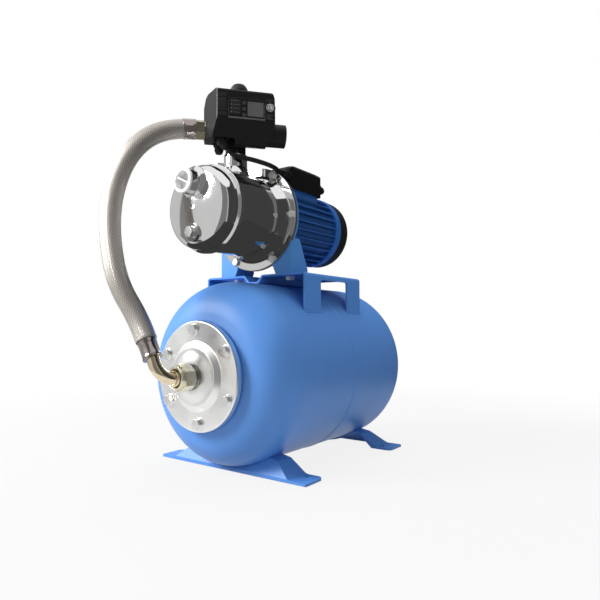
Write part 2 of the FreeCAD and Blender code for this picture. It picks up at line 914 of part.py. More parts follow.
def cord(label, points, radius):
    """A flexible line as one tube of straight runs joined by tangent arcs."""
    points = [Vector(*[size(c).value for c in p]) for p in points]
    edges, start, radii, length = [], points[0], [], 0
    for i in range(1, len(points) - 1):
        back = points[i - 1] - points[i]
        ahead = points[i + 1] - points[i]
        half_turn = (math.pi - back.getAngle(ahead)) / 2
        reach = 0.45 * min(back.Length, ahead.Length)
        bend = reach / math.tan(half_turn)
        radii.append(round(bend, 1))
        back.normalize()
        ahead.normalize()
        first = points[i] + back * reach
        last = points[i] + ahead * reach
        rise = bend / math.cos(half_turn) - bend
        middle = points[i] + (back + ahead).normalize() * rise
        edges += [Part.LineSegment(start, first).toShape(), Part.Arc(first, middle, last).toShape()]
        start = last
    edges.append(Part.LineSegment(start, points[-1]).toShape())
    path = Part.Wire(edges)
    section = Part.Wire(Part.Circle(points[0], points[1] - points[0], radius.value).toShape())
    shape = path.makePipeShell([section], True, True)
    expected = math.pi * radius.value ** 2 * path.Length
    print(label, "radii", radii, "length", round(path.Length, 1),
          "volume share", round(shape.Volume / expected, 4))
    node = doc.addObject("Part::Feature", label)
    node.Shape = shape
    return keep(node)


def foot_form(label, inset):
    """The outside of the front foot, or with an inset the hollow under its sheet."""
    deep = size(inset)
    below = 0 - deep
    saddle = mm.tank_radius + mm.weld_gap + deep
    high = TANK_Z - root(saddle * saddle - mm.foot_saddle_x * mm.foot_saddle_x)
    ramp_x = mm.foot_ramp_x - deep * 0.5
    ramp_z = mm.foot_ramp_height - deep
    if deep.value:
        left = [(0 - mm.foot_pad_start + deep, below)]
        right = [(mm.foot_pad_start - deep, below)]
    else:
        left = [(0 - mm.foot_pad_start, mm.foot_sheet, 14), (0 - mm.foot_half_width, mm.foot_sheet),
                (0 - mm.foot_half_width, 0)]
        right = [(mm.foot_half_width, 0), (mm.foot_half_width, mm.foot_sheet),
                 (mm.foot_pad_start, mm.foot_sheet, 14)]
    front = right + [
        (ramp_x, ramp_z, 10),
        (mm.foot_saddle_x, high),
        (0 - mm.foot_saddle_x, high, (0, TANK_Z), "y"),
        (0 - ramp_x, ramp_z, 10)] + left
    lip = 0 - mm.foot_front + deep
    skirt = lip + mm.foot_skirt_back
    back = 0 - mm.foot_back + (1 if deep.value else 0)
    top = mm.foot_skirt_height * 2
    side = [(lip, below), (lip, mm.foot_lip), (skirt, mm.foot_skirt_height), (skirt, top),
            (back, top), (back, below)]
    plan = None
    if not deep.value:
        wide = mm.foot_half_width
        plan = [(0 - wide, lip, 3), (wide, lip, 3), (wide, back, mm.foot_corner),
                (0 - wide, back, mm.foot_corner)]
    wide = mm.foot_half_width + 1
    spans = ((0 - wide, wide), (lip - 1, back + 1), (below - 1, top))
    return crossed(label, place, spans, front, side, plan)


def feet():
    """Two pressed sheet feet, welded under the tank; the rear one is the front one turned over."""
    sheet_form = combine("Cut", "foot_shell", foot_form("foot_outside", 0),
                         foot_form("foot_hollow", mm.foot_sheet))
    drill = new_body("foot_drill")
    pad(drill, "XY_Plane", [circle(x, 0 - mm.foot_hole_y, mm.foot_hole)
                            for x in (0 - mm.foot_hole_x, mm.foot_hole_x)],
        -1, mm.foot_skirt_height)
    front = keep(combine("Cut", "front_foot", sheet_form, drill))
    rear = doc.addObject("Part::Mirroring", "rear_foot")
    rear.Source = front
    rear.Normal = Vector(0, 1, 0)
    keep(rear)


def pump_bracket():
    """An inverted U of sheet, welded on the tank, with hand-grip windows and a pressed trough."""
    thick = mm.bracket_sheet
    wide = mm.deck_half_width
    low = TANK_Z + mm.tank_radius * 0.5
    under = DECK_TOP - thick
    front = 0 - mm.deck_front
    channel = new_body("bracket_channel")
    pad(channel, "XZ_Plane", [[
        (0 - wide, low), (0 - wide, DECK_TOP, mm.deck_round), (wide, DECK_TOP, mm.deck_round),
        (wide, low), (wide - thick, low), (wide - thick, under, mm.deck_round - thick),
        (thick - wide, under, mm.deck_round - thick), (thick - wide, low)]], front, mm.deck_back)
    pocket(channel, "YZ_Plane", [[
        (0 - mm.window_front, low - 1),
        (mm.window_back, low - 1),
        (mm.window_back, DECK_TOP - mm.window_height, mm.window_round),
        (0 - mm.window_front, DECK_TOP - mm.window_height, mm.window_round)]], 0 - wide - 1, wide + 1)
    pocket(channel, "XY_Plane", [
        circle(x, 0 - mm.foot_bolt_y, mm.flange_bolt_hole)
        for x in (0 - mm.foot_bolt_x, mm.foot_bolt_x)], under - 1, DECK_TOP + 1)
    outside = trough_form("trough_outside", thick, front)
    inside = trough_form("trough_inside", 0, front)
    pressed = combine("Cut", "bracket_pressed", fuse("bracket_blank", [channel, outside]), inside)
    tank = laid_body("bracket_saddle", 0, TANK_Z)
    pad(tank, "XY_Plane", [circle(0, 0, mm.tank_radius + mm.weld_gap)], front - 1, mm.deck_back + 1)
    keep(combine("Cut", "pump_bracket", pressed, tank))


def trough_form(label, thick, front):
    """The outside of the trough in the deck's front edge, or with no thickness its hollow."""
    thick = size(thick)
    floor = TANK_Z + mm.tank_radius + mm.weld_gap + mm.bracket_sheet - thick
    over = DECK_TOP + (1 if thick.value == 0 else 0)
    start = front - (1 if thick.value == 0 else 0)
    side = [(start, floor), (front + mm.trough_length + thick, floor, 4),
            (front + mm.trough_length + mm.trough_end + thick, over), (start, over)]
    reach = mm.trough_top + thick
    bottom = mm.trough_floor + thick
    spans = ((0 - reach - 1, reach + 1), (start - 1, front + mm.deck_front), (0, 1))
    return crossed(label, place, spans,
                   [(0 - bottom, floor, 2), (bottom, floor, 2), (reach, over), (0 - reach, over)], side)


def pump_foot_bolts():
    original = bolt("pump_foot_bolt", mm.flange_bolt_across, mm.flange_bolt_head,
                    mm.foot_bolt_shank, mm.bracket_sheet + mm.foot_bolt_depth)
    under = DECK_TOP - mm.bracket_sheet
    group("pump_foot_bolts", original, [
        Placement(Vector(x.value, -mm.foot_bolt_y.value, under.value), Rotation())
        for x in (0 - mm.foot_bolt_x, mm.foot_bolt_x)])


def air_valve():
    apex = mm.tank_half_length + mm.rear_head_depth
    stem = laid_body("air_valve", 0, TANK_Z)
    turn(stem, [
        (0, apex - 8), (mm.valve_hole - mm.thread_gap, apex - 8),
        (mm.valve_hole - mm.thread_gap, apex + mm.seat_gap),
        (mm.valve_flange, apex + mm.seat_gap), (mm.valve_flange, apex + 4),
        (mm.valve_stem, apex + 6), (mm.valve_stem, apex + mm.valve_length), (0, apex + mm.valve_length)])
    keep(stem)
    start = apex + 8
    inner = mm.valve_stem + mm.soft_gap
    end = start + mm.valve_cap_length
    cap = laid_body("air_valve_cap", 0, TANK_Z)
    turn(cap, [
        (inner, start), (mm.valve_cap_radius, start), (mm.valve_cap_radius, end, 2), (0, end),
        (0, end - mm.valve_cap_wall + mm.soft_gap), (inner, end - mm.valve_cap_wall + mm.soft_gap)])
    keep(cap)


# Pump


def casing_turned(label, wall, end):
    """The casing's outside, or with its sheet taken off the hollow."""
    wall = size(wall)
    cap = dished(-1, mm.casing_radius, 0 - mm.casing_rim, mm.casing_cap_depth, mm.casing_knuckle,
                 wall, 0)
    body = laid_body(label, 0, PUMP_Z)
    turn(body, cap + [
        (mm.casing_radius - wall, 0 - mm.bead_front - 2),
        (mm.bead_radius - wall, 0 - mm.bead_front + wall * 0.5, 1),
        (mm.bead_radius - wall, 0 - mm.bead_back - wall * 0.5, 1),
        (mm.barrel_radius - wall, 0 - mm.bead_back + 1.5),
        (mm.barrel_radius - wall, 0 - mm.flare_front, 8),
        (mm.flare_radius - wall, CASING_FACE),
        (mm.flare_radius - wall, end),
        (0, end)])
    return body


def pump_casing():
    """Pressed steel casing: a turned sheet with its flange, plug bosses and port openings."""
    form = casing_turned("casing_outside", 0, DISC_FACE)
    lip = DISC_FACE + mm.casing_lip
    skirt = mm.disc_radius + mm.casing_lip_gap
    rim = laid_body("casing_rim", 0, PUMP_Z)
    turn(rim, [
        (mm.flare_radius - mm.casing_sheet - 1, CASING_FACE), (mm.casing_flange_radius, CASING_FACE, 1),
        (mm.casing_flange_radius, lip), (skirt, lip), (skirt, DISC_FACE),
        (mm.flare_radius - mm.casing_sheet - 1, DISC_FACE)])
    spots = ring_spots(mm.casing_bolt_circle, 6)
    pocket(rim, "XY_Plane", [circle(x, 0 - y, mm.casing_bolt_shank + mm.thread_gap) for x, y in spots],
           CASING_FACE - 1, DISC_FACE + 1)
    bosses = laid_body("drain_boss", 0, PUMP_Z)
    pad(bosses, "XY_Plane", [circle(0, mm.drain_drop, mm.plug_boss_radius)],
        0 - mm.drain_boss_face, 0 - mm.casing_rim)
    priming = place(new_body("priming_boss"), 0, 0 - mm.priming_back, PUMP_Z)
    pad(priming, "XY_Plane", [circle(0, 0, mm.plug_boss_radius)],
        mm.barrel_radius * 0.8, PRIMING_TOP)
    blank = fuse("casing_blank", [form, rim, bosses, priming])
    hollow = casing_turned("casing_inside", mm.casing_sheet, DISC_FACE + 1)
    drills = laid_body("casing_drills", 0, PUMP_Z)
    front = 0 - mm.suction_face
    pad(drills, "XY_Plane", [circle(0, 0 - mm.suction_height, mm.stub_bore),
                             circle(0, mm.drain_drop, mm.drain_hole)], front, 0 - mm.bead_front)
    risers = place(new_body("casing_risers"), 0, 0, PUMP_Z)
    pad(risers, "XY_Plane", [circle(0, PIPE_Y, mm.stub_bore),
                             circle(0, 0 - mm.priming_back, mm.priming_hole)],
        mm.barrel_radius * 0.5, STUB_TOP)
    cavity = fuse("casing_cavity", [hollow, drills, risers])
    keep(combine("Cut", "pump_casing", blank, cavity))
    return form


def suction_stub(form):
    """The threaded suction port, with its foot trimmed to the casing."""
    face = 0 - mm.suction_face
    body = laid_body("suction_blank", 0, PUMP_Z + mm.suction_height)
    turn(body, [
        (mm.port_bore, face), (mm.stub_radius, face, 1), (mm.stub_radius, 0 - mm.suction_foot - 5, 4),
        (mm.stub_foot_radius, 0 - mm.suction_foot), (mm.stub_foot_radius, 0 - mm.casing_rim),
        (mm.stub_bore, 0 - mm.casing_rim), (mm.stub_bore, face + mm.stub_thread_depth),
        (mm.port_bore, face + mm.stub_thread_depth)])
    keep(combine("Cut", "suction_stub", body, form))


def suction_cap():
    """The plastic cap that closes the suction port until the pump is plumbed in."""
    face = 0 - mm.suction_face - mm.seat_gap
    rim = face - mm.cap_rim
    plug = mm.port_bore - mm.thread_gap
    end = face + mm.cap_plug_length
    floor = end - mm.cap_floor
    body = laid_body("suction_cap", 0, PUMP_Z + mm.suction_height)
    turn(body, [
        (mm.cap_recess, rim), (mm.stub_radius, rim, 1), (mm.stub_radius, face), (plug, face),
        (plug, end), (0, end), (0, floor), (mm.cap_recess, floor)])
    pad(body, "XY_Plane", [box(0 - mm.cap_recess - 0.5, mm.cap_recess + 0.5,
                               0 - mm.cap_rib / 2, mm.cap_rib / 2)], rim + 1, floor)
    keep(body)


def discharge_stub(form):
    body = place(new_body("discharge_blank"), 0, PIPE_Y, PUMP_Z)
    foot = mm.barrel_radius + mm.discharge_foot_rise
    top = STUB_TOP
    turn(body, [
        (mm.port_bore, top), (mm.stub_radius, top, 1), (mm.stub_radius, foot, 6),
        (mm.discharge_foot, mm.barrel_radius + 0.6), (mm.discharge_foot, mm.barrel_radius * 0.8),
        (mm.stub_bore, mm.barrel_radius * 0.8), (mm.stub_bore, top - mm.stub_thread_depth),
        (mm.port_bore, top - mm.stub_thread_depth)])
    keep(combine("Cut", "discharge_stub", body, form))


def plug(label, at, across, head, shank, length):
    """A screw plug with its washer, standing on the XY plane with its head above."""
    body = at(new_body(label))
    low = mm.seat_gap
    washer = low + mm.plug_washer_thickness
    pad(body, "XY_Plane", [circle(0, 0, mm.plug_washer)], low, washer)
    pad(body, "XY_Plane", [hexagon(across)], washer, washer + head)
    pad(body, "XY_Plane", [circle(0, 0, shank)], 0 - length, low)
    keep(body)


def plugs():
    plug("drain_plug",
         lambda body: place(body, 0, 0 - mm.drain_boss_face, PUMP_Z - mm.drain_drop, AGAINST_Y),
         mm.drain_across, mm.drain_head, mm.drain_hole - mm.thread_gap, mm.drain_shank_length)
    plug("priming_plug",
         lambda body: place(body, 0, 0 - mm.priming_back, PUMP_Z + PRIMING_TOP),
         mm.priming_across, mm.priming_head, mm.priming_hole - mm.thread_gap, mm.priming_shank_length)


def casing_bolts():
    original = bolt("casing_bolt", mm.casing_bolt_across, mm.casing_bolt_head,
                    mm.casing_bolt_shank, mm.casing_bolt_grip)
    spots = ring_spots(mm.casing_bolt_circle, 6)
    group("casing_bolts", original, [
        Placement(Vector(x.value, CASING_FACE.value, (PUMP_Z + y).value), ALONG_Y) for x, y in spots])


def ejector_nozzle():
    """The jet nozzle, whose collar sits over the front end of the venturi tube."""
    tip = 0 - mm.nozzle_tip
    tail = 0 - mm.nozzle_front
    front = 0 - mm.venturi_front
    body = laid_body("ejector_nozzle", 0, PUMP_Z)
    turn(body, [
        (mm.nozzle_bore * 2, tail), (mm.nozzle_collar, tail, 2), (mm.nozzle_collar, front + 6),
        (mm.venturi_radius + mm.fit_gap, front + 6), (mm.venturi_radius + mm.fit_gap, front - 3),
        (mm.nozzle_bore + 3, front - 6), (mm.nozzle_bore + 2, tip), (mm.nozzle_bore, tip),
        (mm.nozzle_bore, tip - 6)])
    pocket(body, "XZ_Plane", [box(
        0 - mm.nozzle_window, mm.nozzle_window, front - mm.nozzle_window_front,
        front - mm.nozzle_window_back)],
           0 - mm.nozzle_collar - 1, mm.nozzle_collar + 1)
    keep(body)


def diffuser_venturi():
    """The cup round the impeller with the venturi tube that leads to its eye."""
    wall = mm.cup_wall
    front = 0 - mm.cup_front
    rim = DISC_FACE - mm.seat_gap
    tube = 0 - mm.venturi_front
    body = laid_body("diffuser_venturi", 0, PUMP_Z)
    turn(body, [
        (mm.venturi_mouth, tube), (mm.venturi_radius, tube),
        (mm.venturi_radius, front - 4), (mm.venturi_radius + 6, front),
        (CUP_RADIUS, front, 4), (CUP_RADIUS, rim), (CUP_RADIUS - wall, rim),
        (CUP_RADIUS - wall, front + wall, 2), (mm.venturi_mouth + 1, front + wall),
        (mm.venturi_throat, front - mm.throat_end), (mm.venturi_throat, front - mm.throat_start)])
    keep(body)


def impeller():
    """A back plate with curved vanes that the shaft carries."""
    front = 0 - mm.impeller_front
    back = 0 - mm.impeller_back
    plate = back - mm.impeller_plate
    bore = mm.shaft_radius + mm.fit_gap
    body = laid_body("impeller", 0, PUMP_Z)
    turn(body, [(bore, front), (mm.impeller_hub, front + 4), (mm.impeller_hub, plate),
                (IMPELLER_RADIUS, plate), (IMPELLER_RADIUS, back), (bore, back)])
    sweep = IMPELLER_RADIUS * 0.7
    tip = IMPELLER_RADIUS * 0.98
    vane = [(mm.impeller_hub - 1, 0), (mm.impeller_hub - 1, mm.vane_thickness),
            (tip * 0.8, sweep * 0.8), (tip * 0.8, sweep * 0.8 - mm.vane_thickness)]
    blade = pad(body, "XY_Plane", [vane], front + 0.5, plate)
    repeat_round(body, blade, mm.vane_count)
    keep(body)


def seals():
    bore = mm.shaft_radius + mm.fit_gap
    back = 0 - mm.impeller_back
    rotating = laid_body("mechanical_seal", 0, PUMP_Z)
    face = 0 - mm.seal_face
    turn(rotating, [(bore, back), (mm.seal_radius - 1, back), (mm.seal_radius, back + 2),
                    (mm.seal_radius, face - 2), (mm.seal_radius - 2, face), (bore, face)])
    keep(rotating)
    seat = laid_body("seal_seat", 0, PUMP_Z)
    front = face + mm.seat_gap
    turn(seat, [(mm.seat_bore, front), (mm.seat_radius - 1, front), (mm.seat_radius, front + 1),
                (mm.seat_radius, PLATE_BACK), (mm.seat_bore, PLATE_BACK)])
    keep(seat)
    plate = laid_body("seal_plate", 0, PUMP_Z)
    pad(plate, "XY_Plane", [circle(0, 0, mm.seal_plate_radius),
                            circle(0, 0, mm.seat_radius + mm.fit_gap)], DISC_FACE, PLATE_BACK)
    keep(plate)
    ring = mm.oring_minor
    oring = laid_body("casing_oring", 0, PUMP_Z)
    sketch = sketch_at(oring, "XZ_Plane", 0, [circle(
        (mm.seal_plate_radius + mm.seal_recess_radius) / 2, PLATE_BACK - ring - mm.fit_gap, ring)])
    feature = oring.newObject("PartDesign::Revolution", "Ring")
    feature.Profile = sketch
    feature.ReferenceAxis = (sketch, ["V_Axis"])
    feature.Angle = 360
    keep(oring)


# Motor


def motor_bracket():
    """The casting that carries pump and motor: a flange disc, a bearing hub and two legs."""
    seat = mm.bearing_radius + mm.fit_gap
    bearing = 0 - mm.front_bearing
    bearing_end = bearing + mm.bearing_width
    spigot = mm.housing_bore - mm.seat_gap
    hub = laid_body("bracket_hub", 0, PUMP_Z)
    turn(hub, [
        (mm.shaft_hole, PLATE_BACK), (mm.seal_recess_radius, PLATE_BACK),
        (mm.seal_recess_radius, DISC_FACE), (mm.disc_radius, DISC_FACE),
        (mm.disc_radius, DISC_BACK, 2), (mm.hub_front_radius, DISC_BACK, 2),
        (mm.hub_back_radius, MOTOR_FRONT), (spigot, MOTOR_FRONT),
        (spigot, MOTOR_FRONT + mm.spigot_depth), (mm.hub_bore, MOTOR_FRONT + mm.spigot_depth),
        (mm.hub_bore, DISC_BACK, 3), (mm.bearing_boss_radius, DISC_BACK, 3),
        (mm.bearing_boss_radius, bearing_end), (seat, bearing_end), (seat, bearing),
        (mm.shaft_hole, bearing)])
    body = fuse("bracket_cast", [hub, leg("left", -1), leg("right", 1)])
    drill = new_body("bracket_drill")
    pad(drill, "XY_Plane", [circle(x, 0 - mm.foot_bolt_y, mm.foot_bolt_shank + mm.thread_gap)
                            for x in (0 - mm.foot_bolt_x, mm.foot_bolt_x)],
        DECK_TOP - 1, DECK_TOP + mm.foot_bolt_depth + 0.5)
    before = DISC_FACE - 1
    bores = laid_body("bracket_bores", 0, PUMP_Z)
    spots = ring_spots(mm.casing_bolt_circle, 6)
    pad(bores, "XY_Plane", [circle(x, 0 - y, mm.casing_bolt_shank + mm.thread_gap) for x, y in spots],
        before, DISC_FACE + mm.casing_bolt_grip - 1)
    recess = laid_body("bracket_recess", 0, PUMP_Z)
    pad(recess, "XY_Plane", [circle(0, 0, mm.seal_recess_radius)], before, PLATE_BACK)
    rim = laid_body("bracket_rim", 0, PUMP_Z)
    pad(rim, "XY_Plane", [circle(0, 0, mm.casing_flange_radius + mm.soft_gap),
                          circle(0, 0, mm.disc_radius)], before, DISC_FACE + mm.casing_lip + mm.soft_gap)
    keep(combine("Cut", "motor_bracket", body, fuse("bracket_cuts", [drill, bores, recess, rim])))


def leg(name, side):
    """One leg of the casting, hollowed from behind."""
    top = DECK_TOP + mm.leg_height
    inner = DECK_TOP + mm.leg_bevel
    wall = mm.leg_wall
    back = DISC_FACE + mm.leg_depth
    spans = ((0 - mm.deck_half_width, mm.deck_half_width), (DISC_FACE, back), (0, 1))
    outside = crossed(name + "_leg", place, spans, [
        (side * mm.leg_inner, DECK_TOP), (side * mm.leg_outer, DECK_TOP),
        (side * mm.leg_outer, top), (side * (mm.leg_inner + 8), top + 2),
        (side * mm.leg_inner_top, top - 14), (side * mm.leg_inner_top, inner)], [
        (DISC_FACE, DECK_TOP), (back, DECK_TOP), (back, DECK_TOP + 8),
        (DISC_FACE + mm.leg_top_depth, top + 2), (DISC_FACE, top + 2)])
    hollow = new_body(name + "_leg_hollow")
    pad(hollow, "XZ_Plane", [[
        (side * (mm.leg_inner_top + wall + 2), DECK_TOP + mm.leg_foot_height + 4),
        (side * (mm.leg_outer - wall), DECK_TOP + mm.leg_foot_height),
        (side * (mm.leg_outer - wall), top - 20),
        (side * (mm.leg_inner_top + wall), top - 20)]], DISC_BACK, back + 1)
    return combine("Cut", name + "_leg_cast", outside, hollow)


def motor_housing():
    """A ribbed barrel with a flat for the terminal box and one for the foot."""
    bore = mm.housing_bore
    body = laid_body("motor_housing", 0, PUMP_Z)
    turn(body, [(bore, MOTOR_FRONT), (mm.housing_radius, MOTOR_FRONT),
                (mm.housing_radius, mm.motor_back), (bore, mm.motor_back)])
    root_radius = bore + 1
    thick = mm.fin_thickness / 2
    fin = pad(body, "XY_Plane", [[
        (root_radius, 0 - thick), (mm.fin_radius, 0 - thick * 0.6),
        (mm.fin_radius, thick * 0.6), (root_radius, thick)]], MOTOR_FRONT, mm.motor_back)
    repeat_round(body, fin, mm.fin_count)
    box_front = 0 - mm.box_front - 1
    pocket(body, "XY_Plane", [box(0 - mm.box_half_width, mm.box_half_width,
                                  0 - mm.fin_radius - 5, 0 - mm.pad_height)],
           box_front, mm.box_back + 2)
    deep = bore * 0.5
    pad(body, "XY_Plane", [box(0 - mm.pad_half_width, mm.pad_half_width, 0 - mm.pad_height, 0 - deep)],
        0 - mm.pad_front, mm.pad_back)
    middle = mm.motor_foot_back
    pad(body, "XY_Plane", [box(0 - mm.foot_pad_half_width, mm.foot_pad_half_width, deep, mm.fin_radius)],
        middle - mm.foot_pad_length / 2, middle + mm.foot_pad_length / 2)
    pocket(body, "XY_Plane", [circle(0, 0, bore)], MOTOR_FRONT - 1, mm.motor_back + 1)
    keep(body)


def stator():
    outer = mm.housing_bore - mm.fit_gap
    core = laid_body("stator_core", 0, PUMP_Z)
    pad(core, "XY_Plane", [circle(0, 0, outer), circle(0, 0, mm.stator_bore)],
        0 - mm.stator_front, mm.stator_back)
    keep(core)
    original = new_body("winding_head")
    inner, wide, long = mm.winding_inner, mm.winding_outer, mm.winding_length
    turn(original, [(inner, 0), (wide, 0), (wide, long, 6), (inner, long, 4)])
    front = Placement(Vector(0, -mm.stator_front.value, PUMP_Z.value), AGAINST_Y)
    back = Placement(Vector(0, mm.stator_back.value, PUMP_Z.value), ALONG_Y)
    group("stator_windings", original, [front, back])


def rotor():
    core = laid_body("rotor_core", 0, PUMP_Z)
    bore = mm.shaft_middle_radius + mm.fit_gap
    radius = mm.stator_bore - mm.air_gap
    turn(core, [(bore, 0 - mm.rotor_front), (radius, 0 - mm.rotor_front, 1),
                (radius, mm.rotor_back, 1), (bore, mm.rotor_back)])
    keep(core)
    seat = mm.bearing_bore - mm.fit_gap
    front_seat = 0 - mm.front_bearing
    shaft = laid_body("motor_shaft", 0, PUMP_Z)
    turn(shaft, [
        (0, 0 - mm.shaft_front), (mm.shaft_radius, 0 - mm.shaft_front), (mm.shaft_radius, front_seat),
        (seat, front_seat), (seat, front_seat + mm.bearing_width),
        (mm.shaft_middle_radius, front_seat + mm.bearing_width), (mm.shaft_middle_radius, mm.rear_bearing),
        (seat, mm.rear_bearing), (seat, mm.rear_bearing + mm.bearing_width),
        (mm.shaft_radius, mm.rear_bearing + mm.bearing_width), (mm.shaft_radius, mm.shaft_back),
        (0, mm.shaft_back)])
    keep(shaft)
    race = new_body("bearing")
    dent = mm.bearing_width * 0.06
    inner, outer, wide = mm.bearing_bore, mm.bearing_radius, mm.bearing_width
    lip = (outer - inner) * 0.3
    turn(race, [
        (inner, 0), (inner + lip, 0), (inner + lip, dent), (outer - lip, dent), (outer - lip, 0),
        (outer, 0, 0.8), (outer, wide, 0.8), (outer - lip, wide), (outer - lip, wide - dent),
        (inner + lip, wide - dent), (inner + lip, wide), (inner, wide)])
    group("bearings", race, [
        Placement(Vector(0, y, PUMP_Z.value), ALONG_Y)
        for y in (-mm.front_bearing.value, mm.rear_bearing.value)])


def rear_shield():
    seat = mm.bearing_radius + mm.fit_gap
    spigot = mm.housing_bore - mm.seat_gap
    front = mm.motor_back
    web = SHIELD_BACK - mm.shield_web
    bearing_end = mm.rear_bearing + mm.bearing_width
    body = laid_body("rear_shield", 0, PUMP_Z)
    turn(body, [
        (mm.shaft_hole, SHIELD_BACK), (mm.shield_radius, SHIELD_BACK, 1.5),
        (mm.shield_radius, front, 1.5), (spigot, front), (spigot, front - mm.spigot_depth),
        (spigot - mm.leg_wall, front - mm.spigot_depth), (spigot - mm.leg_wall, web),
        (mm.bearing_boss_radius, web), (mm.bearing_boss_radius, mm.rear_bearing),
        (seat, mm.rear_bearing), (seat, bearing_end), (mm.shaft_hole, bearing_end)])
    keep(body)


def cooling_fan():
    bore = mm.shaft_radius + mm.fit_gap
    plate = mm.fan_front + mm.fan_blade
    body = laid_body("cooling_fan", 0, PUMP_Z)
    turn(body, [
        (bore, mm.fan_front), (mm.fan_radius * 0.8, mm.fan_front), (mm.fan_radius * 0.8, plate),
        (mm.fan_hub, plate), (mm.fan_hub, mm.fan_back), (bore, mm.fan_back)])
    blade = pad(body, "XY_Plane", [box(mm.fan_hub - 1, mm.fan_radius,
                                       0 - mm.fan_blade / 2, mm.fan_blade / 2)],
                mm.fan_front, mm.fan_back - 1)
    repeat_round(body, blade, mm.fan_blades)
    keep(body)


def fan_cover():
    """The plastic hood over the fan, with radial air slots in its end."""
    wall = mm.fan_cover_wall
    radius = mm.fan_cover_radius
    end = COVER_END
    body = laid_body("fan_cover", 0, PUMP_Z)
    turn(body, [
        (radius, SHIELD_BACK), (radius, end, mm.fan_cover_round), (0, end), (0, end - wall),
        (radius - wall, end - wall, mm.fan_cover_round - wall), (radius - wall, SHIELD_BACK)])
    half = mm.grille_slot / 2
    slot = pocket(body, "XY_Plane", [box(mm.grille_inner, mm.grille_outer, 0 - half, half, half * 0.9)],
                  end - mm.fan_cover_round, end + 1)
    repeat_round(body, slot, mm.grille_count)
    keep(body)


def motor_foot():
    """The cone of plastic that props the motor on the deck."""
    body = place(new_body("motor_foot"), 0, mm.motor_foot_back, DECK_TOP)
    top = mm.pump_height - mm.fin_radius - mm.seat_gap
    low = mm.seat_gap
    rim = mm.motor_foot_rim
    turn(body, [(0, low), (mm.motor_foot_base, low, 1), (mm.motor_foot_base, rim, 1),
                (mm.motor_foot_neck, rim + 6), (mm.motor_foot_neck, top), (0, top)])
    keep(body)


# Terminal box


def box_outline(inset, rounding=None):
    """Plan of the terminal box, drawn in by the inset."""
    return box(inset - mm.box_half_width, mm.box_half_width - inset,
               inset - mm.box_front, mm.box_back - inset, rounding or mm.box_round - inset)


def post_spots():
    wide = mm.box_half_width - mm.post_inset
    return [(x, y) for x in (0 - wide, wide)
            for y in (mm.post_inset - mm.box_front, mm.box_back - mm.post_inset)]


def terminal_box():
    """The black tray on the motor's flat, with screw posts and two gland holes."""
    low = 0 - mm.box_skirt
    seam = mm.box_seam
    floor = mm.box_floor
    tray = place(new_body("box_tray"), 0, 0, BOX_TOP_FLAT)
    pad(tray, "XY_Plane", [box_outline(0)], low, seam)
    pocket(tray, "XY_Plane", [box_outline(mm.box_wall)], floor, seam + 1)
    pocket(tray, "XY_Plane", [box_outline(mm.box_wall)], low - 1, mm.seat_gap)
    posts = [circle(x, y, mm.post_radius) for x, y in post_spots()]
    pad(tray, "XY_Plane", posts, floor, seam)
    pocket(tray, "XY_Plane", [circle(x, y, mm.screw_shank + mm.thread_gap) for x, y in post_spots()],
           floor + 4, seam + 1)
    hole = mm.gland_thread + mm.thread_gap
    pocket(tray, "XZ_Plane", [circle(mm.gland_x, mm.front_gland_height, hole)],
           0 - mm.box_front - 1, mm.box_wall + 0.5 - mm.box_front)
    pocket(tray, "XZ_Plane", [circle(mm.gland_x, mm.rear_gland_height, hole)],
           mm.box_back - mm.box_wall - 0.5, mm.box_back + 1)
    relief = laid_body("box_relief", 0, PUMP_Z)
    clear = 0.8
    turn(relief, [(0, 0 - mm.box_front - 1), (mm.hub_back_radius + clear + 0.4, 0 - mm.box_front - 1),
                  (mm.hub_back_radius + clear, MOTOR_FRONT + 0.1), (0, MOTOR_FRONT + 0.1)])
    fins = laid_body("box_fin_relief", 0, PUMP_Z)
    half = mm.fin_radius + 0.5
    pad(fins, "XY_Plane", [circle(0, 0, half)], 0 - mm.motor_front, mm.motor_back)
    pocket(fins, "XY_Plane", [box(0 - half, half, 0 - half - 1, 0 - mm.pad_height)],
           0 - mm.motor_front - 1, mm.motor_back + 1)
    keep(combine("Cut", "terminal_box", tray, fuse("box_reliefs", [relief, fins])))


